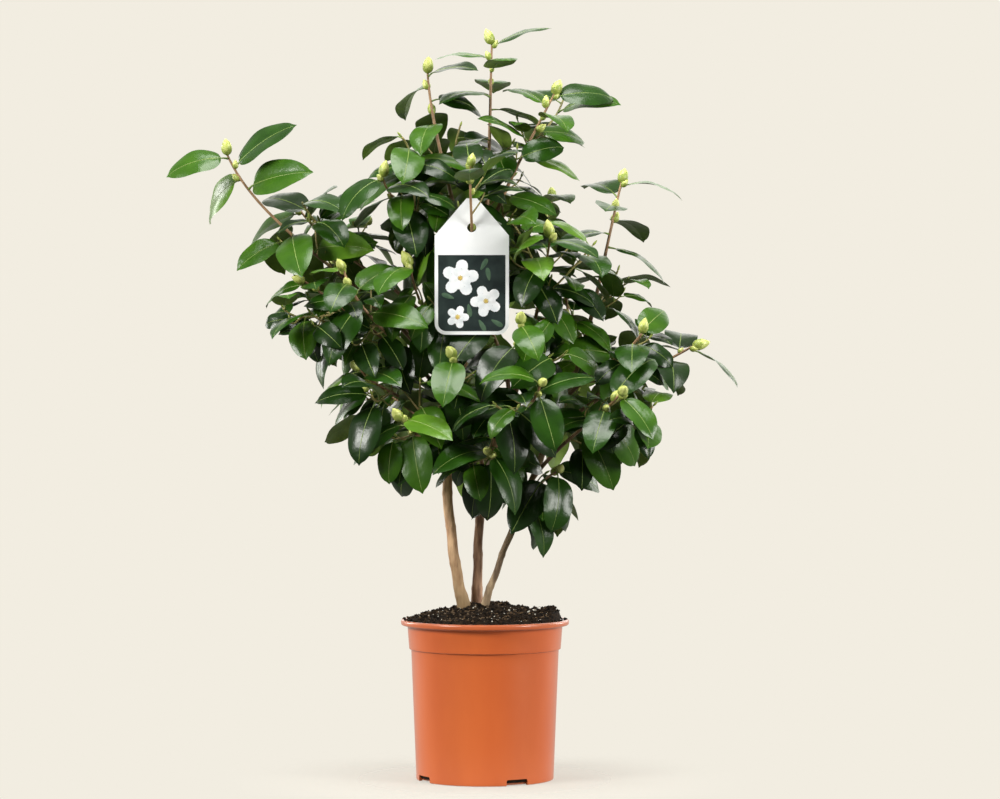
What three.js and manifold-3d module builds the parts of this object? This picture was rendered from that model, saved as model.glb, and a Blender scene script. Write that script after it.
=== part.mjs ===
// A camellia shrub in a plastic nursery pot: pot, soil, three stems, boughs, foliage and a hanging tag.
// Millimetres, +Z up. The origin is the centre of the pot's flat underside, and -Y is the plant's front.
import * as THREE from "three";
import { mergeVertices } from "three/addons/utils/BufferGeometryUtils.js";
import Module from "manifold-3d";

const wasm = await Module();
wasm.setup();

// Driving dimensions
const GAP = 0.3; // clearance between neighbouring pieces
const POT = {
  height: 184.5,
  rimRadius: 97.5,
  lipHeight: 7,
  collarRadius: 89.8,
  collarHeight: 34,
  bodyRadius: 85.5,
  footRadius: 79.5,
  wall: 1.8,
  floor: 3,
  sides: 32,
};
const DRAIN = { count: 4, bearing: -62, width: 27, height: 7, depth: 12 };
const SOIL = {
  foot: 6, // how deep the stems stand in it
  mound: 21,
  moundSpread: 52,
  moundAt: [4, 4],
  lump: 2.2,
  clump: 11,
  clumpSpread: 12,
  clumpAt: [75, -20],
  rings: 5,
  sectors: 22,
  seed: 5,
};
const TAG = {
  width: 84,
  height: 154,
  slope: 42, // height of the pointed shoulders
  apex: 12, // width of the flat at the top
  corner: 13,
  thickness: 0.8,
  holeRadius: 5.2,
  holeDrop: 33, // from the top edge to the hole's centre
  sight: [0, 12, 28, 46, 66], // leaves keep off these planes in front of it, so that it shows
};
const LEAF = {
  length: 70,
  shape: 0.56, // width over length
  petiole: 8,
  stalk: 1.5, // half the width of the stalk where it meets the blade
  sunk: 1.2, // how far its pointed root goes past the twig's middle
  keel: 1.2, // thickness at the midrib
  stations: [0.24, 0.68], // where the outline turns, as shares of the length
  widths: [0.86, 0.9], // half widths there, as shares of half the greatest width
  arch: [0.5, 1.1], // how far the midrib bends down, in radians
  level: 0.35, // how strongly a leaf that doesn't weep turns to the horizontal
};
const BUD = { length: 19, radius: 5.8, sides: 5 };
const SHOOT = {
  tipRadius: 1.25,
  spacing: 15, // between leaves along a shoot
  firstLeaf: 5, // from the shoot's tip
  flush: 6, // leaves in one year's growth
  rest: 20, // bare length between two years' growth
  divergence: 144, // turn from one leaf to the next, in degrees
  twigLength: [58, 84],
  twigLeaves: 4,
  twigPitch: 48,
};
const CLEARANCE = { leaf: 3, twig: 2, limb: 1.5 };
const ROOM = 118; // a mass keeps within this distance of its own stem
const GOLDEN = 137.5;

// The three stems, each a Bezier curve from its foot in the soil to its fork. Radii are at foot and fork.
const STEMS = {
  stem_left: {
    foot: [-23, -7], lean: [[-45, -10, 290], [-59, -6, 400]], fork: [-17, 5, 500], radius: [6.4, 4.6],
  },
  stem_middle: {
    foot: [-9, 9], lean: [[-10, 11, 270], [-11, 14, 345]], fork: [30, 20, 432], radius: [5.8, 4.3],
  },
  stem_right: {
    foot: [-2, -9], lean: [[27, -14, 280], [61, -15, 370]], fork: [108, -5, 480], radius: [3.9, 3.2],
  },
};
const FLARE = { factor: 1.32, height: 22 };
const BARK = { round: 1.3 }; // a three-sided twig this much wider has a round one's section

// The limbs. Each leaves its parent at a share of that parent's length and runs to its tip, where it points
// up by rise degrees. Its first part, bare, is a bough, and the rest is the stem of a mass of foliage.
// leaves and twigs count what the stem carries, turn aims the first leaf (0 front, 90 right, 270 left), weep
// pulls the leaves down, and face turns their upper sides to the front (or the back, below 0). A limb may
// have its own divergence, flush and rest in place of those of SHOOT, and size scales its leaves.
const LIMBS = {
  top_right: {
    from: "stem_left", at: 1, tip: [8, 8, 852], rise: 88, bare: 0.42, radius: 4.2,
    leaves: 9, twigs: 0, turn: 100, weep: -0.2, face: 0.2, seed: 3,
  },
  top_left: {
    from: "top_right", at: 0.07, tip: [-66, -22, 815], rise: 86, bare: 0.38, radius: 3.8,
    leaves: 10, twigs: 1, turn: 60, weep: 0, face: 0.9, seed: 8, divergence: 160,
  },
  centre_front: {
    from: "stem_left", at: 0.97, tip: [-16, -122, 700], rise: 82, bare: 0.6, radius: 3,
    leaves: 8, twigs: 0, turn: 200, weep: -0.7, face: 0.9, seed: 21,
  },
  upper_right: {
    from: "top_right", at: 0.32, tip: [80, -8, 792], rise: 62, bare: 0.3, radius: 2.8,
    leaves: 9, twigs: 1, turn: 95, weep: -0.35, face: 0.7, seed: 40,
  },
  right_top: {
    from: "stem_right", at: 1, tip: [158, -6, 690], rise: 76, bare: 0, radius: 3.3,
    leaves: 7, twigs: 1, turn: 75, weep: -0.25, face: 0.2, seed: 42,
  },
  right_far: {
    from: "stem_right", at: 0.72, tip: [238, -46, 500], rise: 30, bare: 0.45, radius: 2.9,
    leaves: 4, twigs: 0, turn: 80, weep: -0.2, face: 0, seed: 41,
  },
  right_shoulder: {
    from: "stem_right", at: 0.86, tip: [178, -84, 514], rise: 50, bare: 0.4, radius: 2.6,
    leaves: 7, twigs: 0, turn: 200, weep: 0, face: 0.9, seed: 9,
  },
  right_front: {
    from: "stem_right", at: 0.55, tip: [152, -150, 446], rise: 35, bare: 0.4, radius: 2.7,
    leaves: 7, twigs: 1, turn: 60, weep: 0.1, face: 0.5, seed: 12,
  },
  lower_right: {
    from: "stem_right", at: 0.42, tip: [84, -92, 358], rise: 10, bare: 0, radius: 2.4,
    leaves: 6, twigs: 0, turn: 60, weep: 0.5, face: 0.3, seed: 2,
  },
  middle_top: {
    from: "stem_middle", at: 1, tip: [74, -92, 622], rise: 70, bare: 0.45, radius: 3.6,
    leaves: 9, twigs: 2, turn: 45, weep: 0, face: 0.5, seed: 17,
  },
  bud_front: {
    from: "stem_middle", at: 0.86, tip: [62, -178, 456], rise: 40, bare: 0.45, radius: 2.8,
    leaves: 7, twigs: 1, turn: 40, weep: 0.4, face: 0.5, seed: 4,
  },
  lower_centre: {
    from: "stem_middle", at: 0.66, tip: [6, -140, 380], rise: 15, bare: 0, radius: 2.6,
    leaves: 6, twigs: 0, turn: 250, weep: 0.4, face: 0.4, seed: 13, divergence: 155,
  },
  centre_low: {
    from: "stem_middle", at: 0.93, tip: [40, -134, 524], rise: 65, bare: 0.35, radius: 2.7,
    leaves: 8, twigs: 1, turn: 20, weep: 0.3, face: 0.5, seed: 10,
  },
  lower_left: {
    from: "stem_left", at: 0.5, tip: [-93, -132, 416], rise: 25, bare: 0.35, radius: 2.8,
    leaves: 7, twigs: 1, turn: 285, weep: 0.35, face: 0.6, seed: 43,
  },
  left_low: {
    from: "stem_left", at: 0.66, tip: [-142, -88, 474], rise: 45, bare: 0.4, radius: 3,
    leaves: 8, twigs: 1, turn: 270, weep: 0.1, face: 0.4, seed: 15,
  },
  left_mid: {
    from: "stem_left", at: 0.73, tip: [-158, -112, 584], rise: 70, bare: 0.45, radius: 3.1,
    leaves: 8, twigs: 1, turn: 200, weep: 0, face: 0.4, seed: 16,
  },
  left_out: {
    from: "left_mid", at: 0.28, tip: [-206, -50, 574], rise: 35, bare: 0.4, radius: 2.5,
    leaves: 8, twigs: 1, turn: 235, weep: -0.2, face: 0.4, seed: 18, size: 0.84,
  },
  upper_left: {
    from: "stem_left", at: 0.785, tip: [-296, -30, 720], rise: 66, bare: 0.5, radius: 3.2,
    leaves: 10, twigs: 0, turn: 278, weep: 0.05, face: 1.3, seed: 36,
    divergence: 163, flush: 4, size: 1.14, rest: 44,
  },
  left_inner: {
    from: "stem_left", at: 0.92, tip: [-216, 26, 660], rise: 55, bare: 0.5, radius: 2.9,
    leaves: 7, twigs: 1, turn: 250, weep: 0, face: 0.3, seed: 20,
  },
  left_high: {
    from: "top_left", at: 0.25, tip: [-116, -70, 692], rise: 75, bare: 0, radius: 2.5,
    leaves: 8, twigs: 2, turn: 280, weep: 0.25, face: 0.3, seed: 22,
  },
  centre_left: {
    from: "stem_left", at: 0.825, tip: [-84, -78, 590], rise: 80, bare: 0, radius: 2.5,
    leaves: 7, twigs: 1, turn: 330, weep: 0.3, face: 0.5, seed: 23,
  },
  centre_mid: {
    from: "stem_left", at: 0.7, tip: [-34, -118, 486], rise: 45, bare: 0, radius: 2.5,
    leaves: 7, twigs: 1, turn: 0, weep: 0.4, face: 0.4, seed: 24,
  },
  right_inner: {
    from: "stem_right", at: 0.95, tip: [92, -40, 566], rise: 70, bare: 0, radius: 2.4,
    leaves: 6, twigs: 0, turn: 60, weep: 0.3, face: 0.5, seed: 25,
  },
  back_left_low: {
    from: "stem_left", at: 0.6, tip: [-134, 128, 462], rise: 35, bare: 0.4, radius: 2.9,
    leaves: 8, twigs: 1, turn: 180, weep: 0.3, face: -0.4, seed: 26,
  },
  back_left_mid: {
    from: "stem_left", at: 0.85, tip: [-178, 132, 596], rise: 55, bare: 0.45, radius: 3,
    leaves: 8, twigs: 2, turn: 180, weep: 0.2, face: -0.4, seed: 27,
  },
  back_low: {
    from: "stem_middle", at: 0.6, tip: [-22, 172, 428], rise: 30, bare: 0.35, radius: 2.9,
    leaves: 8, twigs: 1, turn: 180, weep: 0.4, face: -0.4, seed: 28,
  },
  back_mid: {
    from: "stem_middle", at: 0.98, tip: [-14, 182, 588], rise: 60, bare: 0.45, radius: 3,
    leaves: 8, twigs: 2, turn: 180, weep: 0.2, face: -0.4, seed: 29,
  },
  back_high: {
    from: "top_right", at: 0.2, tip: [-44, 112, 716], rise: 70, bare: 0, radius: 2.7,
    leaves: 8, twigs: 2, turn: 180, weep: 0.1, face: -0.4, seed: 30,
  },
  back_right_low: {
    from: "stem_middle", at: 0.8, tip: [128, 142, 430], rise: 35, bare: 0.4, radius: 2.9,
    leaves: 8, twigs: 1, turn: 180, weep: 0.4, face: -0.4, seed: 31,
  },
  back_right_mid: {
    from: "stem_right", at: 0.66, tip: [180, 124, 496], rise: 45, bare: 0.4, radius: 2.8,
    leaves: 8, twigs: 1, turn: 180, weep: 0.3, face: -0.4, seed: 32,
  },
  back_right_high: {
    from: "top_right", at: 0.26, tip: [80, 116, 680], rise: 62, bare: 0, radius: 2.6,
    leaves: 8, twigs: 1, turn: 180, weep: 0.2, face: -0.4, seed: 33,
  },
};
const TAG_ON = { limb: "centre_front", at: 0.68 }; // where the shoot runs through the tag's hole

const material = (color, roughness) => new THREE.MeshStandardMaterial({ color, roughness, metalness: 0 });
const terracotta = material(0xc8673a, 0.42);
const peat = material(0x241a14, 0.95);
const bark = material(0x8a6a50, 0.8);
const youngBark = material(0x8c5a3e, 0.7);
const foliage = material(0x1f4a1c, 0.35);
const card = material(0xf2f2ee, 0.4);

// Small helpers
const UP = new THREE.Vector3(0, 0, 1);
const FRONT = new THREE.Vector3(0, -1, 0);
const radians = THREE.MathUtils.degToRad;
const vector = (p) => new THREE.Vector3(p[0], p[1], p[2]);
const mix = (a, b, t) => a + (b - a) * t;
const unit = (...terms) =>
  terms.reduce((sum, [v, k]) => sum.addScaledVector(v, k), new THREE.Vector3()).normalize();

// A seeded row of numbers between 0 and 1.
function makeRandom(seed) {
  let state = 7919 * seed + 104729;
  const next = () => {
    state = (state * 16807) % 2147483647;
    return state / 2147483647;
  };
  next();
  return next;
}
const between = (random, low, high) => low + (high - low) * random();

// Curves of stems, boughs and twigs
const pointOn = (curve, t) => curve.getPoint(t);
const directionOn = (curve, t) => curve.getPoint(t + 0.01).sub(curve.getPoint(t - 0.01)).normalize();
const lengthOf = (curve, from, to, steps = 24) => {
  const path = Array.from({ length: steps + 1 }, (_, i) => pointOn(curve, mix(from, to, i / steps)));
  return path.slice(1).reduce((sum, p, i) => sum + p.distanceTo(path[i]), 0);
};
const bezier = (a, b, c, d) => new THREE.CubicBezierCurve3(a, b, c, d);

// A limb's curve: it leaves along its parent, and arrives at its tip rising by rise degrees.
function limbCurve(start, along, tip, rise) {
  const span = tip.distanceTo(start);
  const course = tip.clone().sub(start).normalize();
  const level = new THREE.Vector3(course.x, course.y, 0);
  if (level.length() < 0.05) level.copy(FRONT);
  level.normalize();
  const arrive = unit([level, Math.cos(radians(rise))], [UP, Math.sin(radians(rise))]);
  const leave = unit([along, 0.55], [course, 0.85]);
  const early = start.clone().addScaledVector(leave, 0.34 * span);
  const late = tip.clone().addScaledVector(arrive, -0.3 * span);
  return bezier(start, early, late, tip);
}

// The skeleton: every stem, limb and side twig as a curve with a radius along it
const soilTop = (x, y) => {
  const fall = (at, spread) => Math.exp(-((x - at[0]) ** 2 + (y - at[1]) ** 2) / (2 * spread ** 2));
  const mound = SOIL.mound * fall(SOIL.moundAt, SOIL.moundSpread);
  const clump = SOIL.clump * fall(SOIL.clumpAt, SOIL.clumpSpread);
  return POT.height - 3 + mound + clump;
};

function stemOf(name, { foot, lean, fork, radius }) {
  const [x, y] = foot;
  const low = vector([x, y, soilTop(x, y) - SOIL.foot]);
  const curve = bezier(low, vector(lean[0]), vector(lean[1]), vector(fork));
  const span = lengthOf(curve, 0, 1);
  const flare = (t) => 1 + (FLARE.factor - 1) * Math.exp(-(((t * span) / FLARE.height) ** 2));
  return { name, curve, radiusAt: (t) => mix(radius[0], radius[1], t) * flare(t) };
}

function limbOf(name, spec, parent) {
  const start = pointOn(parent.curve, spec.at);
  const curve = limbCurve(start, directionOn(parent.curve, spec.at), vector(spec.tip), spec.rise);
  const radiusAt = (t) => mix(spec.radius, SHOOT.tipRadius, t ** 0.8);
  return { name, curve, parent, ...spec, span: lengthOf(curve, 0, 1), radiusAt };
}

// Two directions square to a shoot, the first towards the front as far as the shoot allows
function around(course) {
  const towards = Math.abs(course.dot(FRONT)) < 0.85 ? FRONT : UP;
  return (along) => {
    const front = unit([towards, 1], [along, -towards.dot(along)]);
    const side = new THREE.Vector3().crossVectors(along, front);
    return (degrees) => unit([front, Math.cos(radians(degrees))], [side, Math.sin(radians(degrees))]);
  };
}

const courseOf = (curve, from) => pointOn(curve, 1).sub(pointOn(curve, from)).normalize();

// Distances between segments and triangles, for the rule that nothing touches
function segmentGap(p, q, a, b) {
  const d = q.clone().sub(p);
  const e = b.clone().sub(a);
  const r = p.clone().sub(a);
  const dd = d.dot(d);
  const ee = e.dot(e);
  const de = d.dot(e);
  const dr = d.dot(r);
  const er = e.dot(r);
  const clamp = (x) => Math.min(1, Math.max(0, x));
  const wide = dd * ee - de * de;
  let s = wide > 1e-9 ? clamp((de * er - dr * ee) / wide) : 0;
  const t = clamp((de * s + er) / ee);
  s = clamp((de * t - dr) / dd);
  return p.clone().addScaledVector(d, s).distanceTo(a.clone().addScaledVector(e, t));
}

// The distance from a point to a triangle's inside, or infinity where it lies past an edge
function faceGap(p, [a, b, c]) {
  const normal = b.clone().sub(a).cross(c.clone().sub(a)).normalize();
  const height = normal.dot(p.clone().sub(a));
  const inside = [[a, b], [b, c], [c, a]].every(
    ([u, v]) => v.clone().sub(u).cross(p.clone().sub(u)).dot(normal) >= 0,
  );
  return inside ? Math.abs(height) : Infinity;
}

const pierces = (p, q, [a, b, c]) => {
  const normal = b.clone().sub(a).cross(c.clone().sub(a));
  const hp = normal.dot(p.clone().sub(a));
  const hq = normal.dot(q.clone().sub(a));
  if (hp * hq > 0) return false;
  const hit = p.clone().lerp(q, hp / (hp - hq || 1));
  return faceGap(hit, [a, b, c]) < Infinity;
};

const edges = ([a, b, c]) => [[a, b], [b, c], [c, a]];

function segmentMeets(p, q, triangle, room) {
  return (
    pierces(p, q, triangle) ||
    faceGap(p, triangle) < room ||
    faceGap(q, triangle) < room ||
    edges(triangle).some(([a, b]) => segmentGap(p, q, a, b) < room)
  );
}

function trianglesMeet(s, t, room) {
  return (
    edges(s).some(([a, b]) => segmentMeets(a, b, t, room)) ||
    t.some((p) => faceGap(p, s) < room) ||
    edges(t).some(([a, b]) => pierces(a, b, s))
  );
}

// Everything that has been grown so far, to keep new leaves and twigs clear of it
const grown = { rods: [], plates: [] };

function addRods(owner, curve, from, to, radiusAt, steps) {
  for (let i = 0; i < steps; i++) {
    const a = mix(from, to, i / steps);
    const b = mix(from, to, (i + 1) / steps);
    const radius = Math.max(radiusAt(a), radiusAt(b));
    grown.rods.push({ owner, a: pointOn(curve, a), b: pointOn(curve, b), radius });
  }
}

const centreOf = (points) =>
  points.reduce((sum, p) => sum.add(p), new THREE.Vector3()).divideScalar(points.length);

function addPlate(owner, triangles) {
  const centre = centreOf(triangles.flat());
  const reach = Math.max(...triangles.flat().map((p) => p.distanceTo(centre)));
  grown.plates.push({ owner, triangles, centre, reach });
  return grown.plates[grown.plates.length - 1];
}

function twigFits(curve, owner, radius) {
  const steps = 4;
  for (let i = 1; i < steps; i++) {
    const p = pointOn(curve, i / steps);
    const q = pointOn(curve, (i + 1) / steps);
    const room = radius + CLEARANCE.twig;
    const meets = (rod) => rod.owner !== owner && segmentGap(p, q, rod.a, rod.b) < rod.radius + room;
    if (grown.rods.some(meets)) return false;
    if (grown.plates.some((plate) => plate.triangles.some((t) => segmentMeets(p, q, t, room)))) return false;
  }
  return true;
}

// The leaf: a stalk, then a blade that arches down along its midrib
function leafAt(node, along, outward, look) {
  const lift = unit([along, Math.cos(look.pitch)], [outward, Math.sin(look.pitch)]);
  const course = unit([lift, 1], [UP, -look.droop - look.level * lift.z]);
  const sky = unit([along, 0.4], [UP, 0.75], [outward, 0.4 * look.droop], [FRONT, look.face]);
  const flat = unit([sky, 1], [course, -sky.dot(course)]).applyAxisAngle(course, look.roll);
  const side = new THREE.Vector3().crossVectors(course, flat);
  const base = node.clone().addScaledVector(unit([lift, 1], [course, 0.5]), LEAF.petiole + look.radius);
  const half = (look.length * LEAF.shape) / 2;
  const midrib = (s) => {
    const turn = look.arch * s;
    return base
      .clone()
      .addScaledVector(course, (look.length * Math.sin(turn)) / look.arch)
      .addScaledVector(flat, (-look.length * (1 - Math.cos(turn))) / look.arch);
  };
  const edge = (s, width) => midrib(s).addScaledVector(side, width);
  const [s1, s2] = LEAF.stations;
  const [w1, w2] = LEAF.widths.map((w) => w * half);
  const [l1, r1, l2, r2] = [edge(s1, -w1), edge(s1, w1), edge(s2, -w2), edge(s2, w2)];
  const tip = midrib(1);
  return {
    node,
    lift,
    course,
    flat,
    side,
    base,
    tip,
    midrib,
    edge,
    look,
    triangles: [[node, r1, l1], [l1, r1, r2], [l1, r2, l2], [l2, r2, tip]],
  };
}

function leafFits(leaf, limb, owner) {
  const outline = leaf.triangles.flat();
  const centre = centreOf(outline);
  const reach = Math.max(...outline.map((p) => p.distanceTo(centre)));
  const stem = [0, 0.25, 0.5, 0.75, 1].map((k) => pointOn(limb.curve, mix(limb.bare, 1, k)));
  const awayFrom = (p, a, b) => segmentGap(p, p.clone().addScaledVector(UP, 0.01), a, b);
  const away = (p) => Math.min(...stem.slice(1).map((q, i) => awayFrom(p, stem[i], q)));
  if (outline.some((p) => away(p) > ROOM)) return false;
  for (const rod of grown.rods) {
    if (rod.owner === owner) continue;
    const middle = rod.a.clone().lerp(rod.b, 0.5);
    if (middle.distanceTo(centre) > reach + rod.a.distanceTo(rod.b) / 2 + 8) continue;
    const room = rod.radius + CLEARANCE.limb;
    const strange = rod.owner.split(".")[0] !== owner.split(".")[0];
    if (strange && segmentGap(leaf.node, leaf.base, rod.a, rod.b) < room) return false;
    if (leaf.triangles.some((t) => segmentMeets(rod.a, rod.b, t, room))) return false;
  }
  return !grown.plates.some(
    (plate) =>
      plate.centre.distanceTo(centre) < plate.reach + reach + CLEARANCE.leaf &&
      (leaf.triangles.some((s) => plate.triangles.some((t) => trianglesMeet(s, t, CLEARANCE.leaf))) ||
        plate.triangles.some((t) => segmentMeets(leaf.node, leaf.base, t, CLEARANCE.leaf))),
  );
}

// Where a shoot's leaves sit, counted from its tip down, with a bare rest between two years' growth
function leafPlaces(curve, from, count, { flush, rest }) {
  const span = lengthOf(curve, from, 1);
  const places = [];
  for (let k = 0; k < count; k++) {
    const down = SHOOT.firstLeaf + SHOOT.spacing * k + rest * Math.floor(k / flush);
    if (down < span - 4) places.push(1 - ((1 - from) * down) / span);
  }
  return places;
}

// Leaves of one shoot, by the seeded rule. Each tries a few turns of its stalk, then a smaller size, and is
// skipped if it still touches something.
const TRIES = [[0, 1], [22, 1], [-22, 1], [44, 0.95], [-44, 0.95], [0, 0.82], [70, 0.85], [-70, 0.85]];

function growLeaves(shoot, limb, random) {
  const spread = around(courseOf(shoot.curve, shoot.from));
  const made = [];
  leafPlaces(shoot.curve, shoot.from, shoot.leaves, { ...SHOOT, ...limb }).forEach((t, k) => {
    const along = directionOn(shoot.curve, t);
    const facing = spread(along);
    const node = pointOn(shoot.curve, t);
    const turn = shoot.turn + (limb.divergence ?? SHOOT.divergence) * k + between(random, -14, 14);
    const draw = {
      pitch: radians(56 + 6 * Math.min(k, 5) + between(random, -8, 8)),
      droop: limb.weep + 0.12 + 0.03 * k + between(random, -0.1, 0.14),
      roll: radians(between(random, -20, 20)),
      length: LEAF.length * (limb.size ?? 1) * (k === 0 ? 0.93 : 1) * between(random, 0.88, 1.1),
      arch: between(random, ...LEAF.arch),
      level: LEAF.level * (1 - limb.weep),
      face: limb.face,
      radius: shoot.radiusAt(t),
    };
    for (const [swing, scale] of TRIES) {
      const leaf = leafAt(node, along, facing(turn + swing), { ...draw, length: draw.length * scale });
      if (!leafFits(leaf, limb, shoot.owner)) continue;
      made.push(leaf);
      addPlate(shoot.owner, leaf.triangles);
      break;
    }
  });
  return made;
}

// A plump flower bud at a shoot's tip, leaning a little to one side
function budAt(shoot, random) {
  const along = directionOn(shoot.curve, 1);
  const outward = around(along)(along)(between(random, 0, 360));
  const scale = between(random, 0.8, 1.12);
  const axis = unit([along, 1], [outward, 0.45]);
  const at = pointOn(shoot.curve, 1);
  const bud = { owner: shoot.owner, at, axis, length: BUD.length * scale, radius: BUD.radius * scale };
  return { ...bud, tip: at.clone().addScaledVector(axis, bud.length) };
}

function budFits({ owner, at, tip, radius }) {
  const room = radius + CLEARANCE.limb;
  const meets = (rod) => rod.owner !== owner && segmentGap(at, tip, rod.a, rod.b) < rod.radius + room;
  if (grown.rods.some(meets)) return false;
  return !grown.plates.some((plate) => plate.triangles.some((t) => segmentMeets(at, tip, t, room)));
}

function growBuds(shoots, random) {
  const made = shoots.map((shoot) => budAt(shoot, random)).filter(budFits);
  made.forEach(({ owner, at, tip, radius }) => grown.rods.push({ owner, a: at, b: tip, radius }));
  return made;
}

// The side twigs of one mass, by the seeded rule. One that would touch a limb is skipped.
function growTwigs(limb, random) {
  const spread = around(courseOf(limb.curve, limb.bare));
  const made = [];
  for (let j = 0; j < limb.twigs; j++) {
    const t = mix(limb.bare, 1, mix(0.14, 0.62, (j + between(random, 0.3, 0.7)) / limb.twigs));
    const along = directionOn(limb.curve, t);
    const start = pointOn(limb.curve, t);
    const turn = limb.turn + 72 + GOLDEN * j + between(random, -20, 20);
    const size = between(random, ...SHOOT.twigLength);
    const owner = `${limb.name}.${j}`;
    for (const swing of [0, 40, -40, 80, -80, 130, -130]) {
      const outward = spread(along)(turn + swing);
      const pitch = radians(SHOOT.twigPitch);
      const leave = unit([along, Math.cos(pitch)], [outward, Math.sin(pitch)]);
      const rise = 0.18 * size * (1 - limb.weep);
      const tip = start.clone().addScaledVector(leave, size).addScaledVector(UP, rise);
      const curve = limbCurve(start, leave, tip, 50 - 40 * limb.weep);
      const radiusAt = (s) => mix(1.5, SHOOT.tipRadius, s);
      if (!twigFits(curve, limb.name, 1.5)) continue;
      made.push({ owner, curve, from: 0, leaves: SHOOT.twigLeaves, turn: turn + 90, radiusAt });
      addRods(owner, curve, 0.12, 1, radiusAt, 4);
      break;
    }
  }
  return made;
}

// Stems and limbs first, then every side twig, then the leaves, so that no limb ever meets a leaf
const skeleton = {};
for (const [name, spec] of Object.entries(STEMS)) skeleton[name] = stemOf(name, spec);
for (const [name, spec] of Object.entries(LIMBS)) skeleton[name] = limbOf(name, spec, skeleton[spec.from]);
const limbs = Object.keys(LIMBS).map((name) => skeleton[name]);
Object.keys(STEMS).forEach((name) => addRods(name, skeleton[name].curve, 0, 1, skeleton[name].radiusAt, 10));
limbs.forEach((limb) => addRods(limb.name, limb.curve, 0.08, 1, limb.radiusAt, 10));

// The tag hangs by its hole on a shoot that runs through it towards the front
function tagPlace() {
  const limb = skeleton[TAG_ON.limb];
  const at = pointOn(limb.curve, TAG_ON.at);
  const along = directionOn(limb.curve, TAG_ON.at);
  // how far the sloping shoot reaches up the hole, through the tag's thickness
  const thick = BARK.round * limb.radiusAt(TAG_ON.at);
  const halfSlot = (thick + (along.z * TAG.thickness) / 2) / Math.abs(along.y);
  return at.clone().addScaledVector(UP, halfSlot + GAP - TAG.holeRadius);
}
const tagAt = tagPlace();

function tagOutline() {
  const half = TAG.width / 2;
  const top = TAG.holeDrop;
  const foot = top - TAG.height;
  const shape = new THREE.Shape();
  shape.moveTo(-TAG.apex / 2, top);
  shape.lineTo(-half, top - TAG.slope);
  shape.lineTo(-half, foot + TAG.corner);
  shape.absarc(-half + TAG.corner, foot + TAG.corner, TAG.corner, Math.PI, 1.5 * Math.PI, false);
  shape.absarc(half - TAG.corner, foot + TAG.corner, TAG.corner, 1.5 * Math.PI, 2 * Math.PI, false);
  shape.lineTo(half, top - TAG.slope);
  shape.lineTo(TAG.apex / 2, top);
  shape.closePath();
  return shape;
}

function tagPlates(ahead) {
  const half = TAG.width / 2;
  const top = TAG.holeDrop;
  const shoulder = top - TAG.slope;
  const foot = top - TAG.height;
  const corners = [[0, top], [-half, shoulder], [-half, foot], [half, foot], [half, shoulder]];
  const [a, b, c, d, e] = corners.map(([x, z]) => tagAt.clone().add(vector([x, -ahead, z])));
  return [[a, b, e], [b, c, d], [b, d, e]];
}
for (const ahead of TAG.sight) addPlate("tag", tagPlates(ahead));

const masses = limbs.map((limb) => {
  const random = makeRandom(limb.seed);
  const { name: owner, curve, bare: from, leaves, turn, radiusAt } = limb;
  const main = { owner, curve, from, leaves, turn, radiusAt };
  const shoots = [main, ...growTwigs(limb, random)];
  return { limb, random, shoots, buds: growBuds([main], random) };
});
masses.forEach((mass) => {
  mass.leaves = mass.shoots.flatMap((shoot) => growLeaves(shoot, mass.limb, mass.random));
});

// Solids
function solidOf(geometry) {
  const bare = geometry.clone();
  bare.deleteAttribute("normal");
  bare.deleteAttribute("uv");
  const merged = mergeVertices(bare, 1e-4);
  const vertProperties = merged.attributes.position.array;
  const triVerts = new Uint32Array(merged.index.array);
  return new wasm.Manifold(new wasm.Mesh({ numProp: 3, vertProperties, triVerts }));
}

function geometryOf(solid) {
  const mesh = solid.getMesh();
  const geometry = new THREE.BufferGeometry();
  geometry.setAttribute("position", new THREE.BufferAttribute(mesh.vertProperties, 3));
  geometry.setIndex(new THREE.BufferAttribute(mesh.triVerts, 1));
  geometry.computeVertexNormals();
  return geometry;
}

// A round bar bent along a curve, thinning as radiusAt says
function bar(curve, from, to, radiusAt, sides, steps) {
  const geometry = new THREE.CylinderGeometry(1, 1, 1, sides, steps);
  const position = geometry.attributes.position;
  const facing = around(courseOf(curve, from));
  for (let i = 0; i < position.count; i++) {
    const t = mix(from, to, position.getY(i) + 0.5);
    const spin = Math.atan2(position.getX(i), position.getZ(i));
    const reach = radiusAt(t) * Math.hypot(position.getX(i), position.getZ(i));
    const along = directionOn(curve, t);
    const outward = facing(along)(THREE.MathUtils.radToDeg(spin));
    const p = pointOn(curve, t).addScaledVector(outward, reach);
    position.setXYZ(i, p.x, p.y, p.z);
  }
  return solidOf(geometry);
}

// Every limb is made of the same bars wherever it appears: thicker by extra, it is the space that others
// keep out of
const stemBar = ({ curve, radiusAt }, extra = 0, end = 1) =>
  bar(curve, 0, end, (t) => radiusAt(t) + extra, 8, 8);
const boughBar = ({ curve, bare, radiusAt }, extra = 0) =>
  bar(curve, 0, bare, (t) => radiusAt(t) + extra, 6, 4);
const shootBar = ({ curve, from, radiusAt }, extra = 0, steps = 5) =>
  bar(curve, from, 1, (t) => BARK.round * radiusAt(t) + extra, 3, steps);

function spaceOf(limb) {
  if (limb.name in STEMS) return stemBar(limb, 1.2 * GAP, 1 + (1.2 * GAP) / lengthOf(limb.curve, 0, 1));
  const shoot = shootBar({ ...limb, from: limb.bare }, 2.2 * GAP);
  return limb.bare > 0 ? boughBar(limb, 1.2 * GAP).add(shoot) : shoot;
}

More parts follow.
